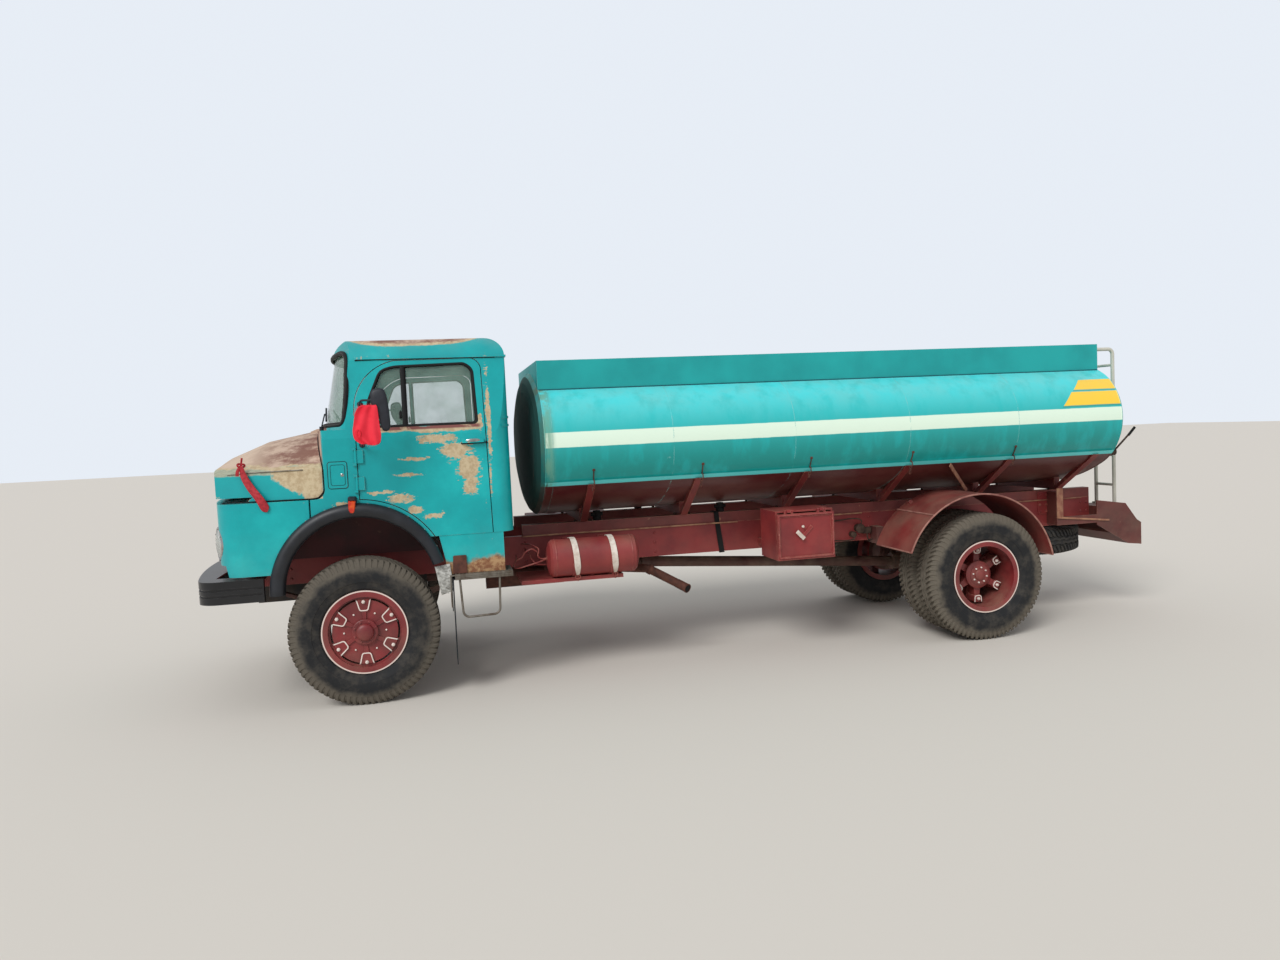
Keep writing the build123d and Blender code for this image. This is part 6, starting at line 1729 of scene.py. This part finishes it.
def makeToolboxTrim():
    # a folded rim round the door, the white hasp with its staple and a round catch
    rim = rounded([(3088, 790), (3088, 1118), (3532, 1118), (3532, 790)], 10, 4)
    border = sweep(onFace(rim, -1063.0), (0, -1, 0), slab(12, -4, 3, 1.5), True)
    meshPiece("toolboxRim", border, "toolEdge", "toolbox_door", sharp=45)
    points, faces = sweep([(3226, 992, 0), (3284, 932, 0)], (0, 0, 1), slab(30, -2, 5, 2))
    hasp = (points[:, [0, 2, 1]] * (1, -1, 1) + (0, -1078, 0), faces)
    staple = turnedAt([(10, -6), (10, 6), (6, 10), (0, 10)], (3280, -1072, 1026), (0, -1, 0), 14)
    meshPiece("toolboxHasp", joinShapes(hasp, staple), "strap", "toolbox_door")


guardTrim = {"x": 4745, "z": 540, "radius": 654, "ends": (159.5, 10.8), "fold": 129, "outer": -1180,
             "inner": -604}


def makeGuardTrim():
    # a rolled pale edge along each guard's outer side and its ends, and a rod across the front fold
    middle, radius = np.array((guardTrim["x"], guardTrim["z"])), guardTrim["radius"]
    start, stop, fold = np.radians((*guardTrim["ends"], guardTrim["fold"]))
    turn = np.linspace(start, stop, 56)
    ring = together(np.cos(turn), np.sin(turn))
    beads = [sweep(onFace(middle + radius * ring, guardTrim["outer"]), onFace(ring, 0), circle(7, 8))]
    for angle, reach, size in ((start, radius, 7), (stop, radius, 6), (fold, radius + 7, 7)):
        x, z = middle + reach * np.array((math.cos(angle), math.sin(angle)))
        bar = [(x, y, z) for y in (guardTrim["outer"], -900, guardTrim["inner"])]
        beads.append(sweep(bar, (math.cos(angle), 0, math.sin(angle)), circle(size, 8)))
    meshPiece("guardEdges", bothSides(joinShapes(*beads)), "paleEdge")


def makeStepTrim():
    # ribbed metal strips along the step's outer edge and bars across its tread
    ribs = [block((636, 1036), (-1134, -1128), (z, z + 6), 1) for z in (836, 848, 860)]
    bars = [block((636 + 25 * n, 644 + 25 * n), (-1128, -866), (871, 875), 1) for n in range(16)]
    meshPiece("stepRibs", bothSides(joinShapes(*ribs, *bars)), "step")
    # a tread-patterned plate by the step, its lines in slanting pairs, and a rusty bracket above
    lines = [prism([(497, 935), (603, 949), (621, 758), (534, 729)], -1094, -1099, 1)]
    for n in range(8):
        x, z = 512 + 3.85 * n, 915 - 23 * n
        for route in ([(x, z), (x + 46, z - 12)], [(x + 40, z + 2), (x + 84, z + 12)]):
            lines.append(sweep(onFace(route, -1100), (0, -1, 0), slab(7, -2, 1.5, 0.6)))
    meshPiece("treadPlate", joinShapes(*lines), "tread", sharp=50)
    bracket = prism(rounded([(628, 1002), (721, 1002), (720, 873), (620, 873)], 8, 4), -1086, -1102, 3)
    meshPiece("apronBracket", bracket, "exhaust")


makeGuardTrim()
makeStepTrim()
makeFrameTrim()
makeCylinderTrim()
makeToolboxTrim()


# floor, lights and camera
stageLook = {
    "floor": linear(214, 208, 198), "floorSize": 60.0, "sky": (0.93, 0.95, 1.0, 1.0), "skyStrength": 0.62,
    "backdrop": (0.80, 0.85, 0.92, 1.0), "sunStrength": 2.0, "sunTurn": (48, -14, -28), "sunSize": 26,
    # the photograph's viewpoint, in the frame's metres and degrees
    "camera": (-2.2125, -7.625, 1.859), "yaw": -12.39, "pitch": -3.41, "roll": -2.63, "lens": 25.584,
}


def makeStage():
    size = stageLook["floorSize"]
    mesh = bpy.data.meshes.new("floor")
    mesh.from_pydata([(-size, -size, 0), (size, -size, 0), (size, size, 0), (-size, size, 0)], [],
                     [(0, 1, 2, 3)])
    floor = bpy.data.objects.new("floor", mesh)
    bpy.context.scene.collection.objects.link(floor)
    material, tree, shader = newMaterial("paleFloor")
    setInputs(shader, {"Base Color": stageLook["floor"], "Roughness": 0.9})
    mesh.materials.append(material)
    world = bpy.data.worlds.new("studio")
    world.use_nodes = True
    tree = world.node_tree
    # the sky lights the truck, and the camera sees the backdrop's colour
    sky = tree.nodes["Background"]
    setInputs(sky, {"Color": stageLook["sky"], "Strength": stageLook["skyStrength"]})
    seen = Field(tree.nodes.new("ShaderNodeLightPath"), "Is Camera Ray")
    pale = addNode(tree, "ShaderNodeBackground", {"Color": stageLook["backdrop"]})
    share = addNode(tree, "ShaderNodeMixShader", {0: seen, 1: Field(sky), 2: Field(pale)})
    setInputs(tree.nodes["World Output"], {0: Field(share)})
    bpy.context.scene.world = world
    sun = bpy.data.lights.new("softSun", "SUN")
    sun.energy = stageLook["sunStrength"]
    sun.angle = math.radians(stageLook["sunSize"])
    lamp = bpy.data.objects.new("softSun", sun)
    lamp.rotation_euler = [math.radians(turn) for turn in stageLook["sunTurn"]]
    bpy.context.scene.collection.objects.link(lamp)


def makeCamera():
    yaw, pitch, roll = (math.radians(stageLook[key]) for key in ("yaw", "pitch", "roll"))
    level = Vector((-math.sin(yaw), math.cos(yaw), 0))
    right = Vector((math.cos(yaw), math.sin(yaw), 0))
    ahead = level * math.cos(pitch) + Vector((0, 0, math.sin(pitch)))
    up = Vector((0, 0, math.cos(pitch))) - level * math.sin(pitch)
    side = right * math.cos(roll) + up * math.sin(roll)
    top = up * math.cos(roll) - right * math.sin(roll)
    data = bpy.data.cameras.new("camera")
    data.lens = stageLook["lens"]
    data.sensor_width = 36
    camera = bpy.data.objects.new("camera", data)
    turn = Matrix((side, top, -ahead)).transposed().to_4x4()
    camera.matrix_world = Matrix.Translation(stageLook["camera"]) @ turn
    bpy.context.scene.collection.objects.link(camera)
    bpy.context.scene.camera = camera


makeStage()
makeCamera()
bpy.context.scene.view_settings.view_transform = "Standard"
print("stage, lights and camera set")
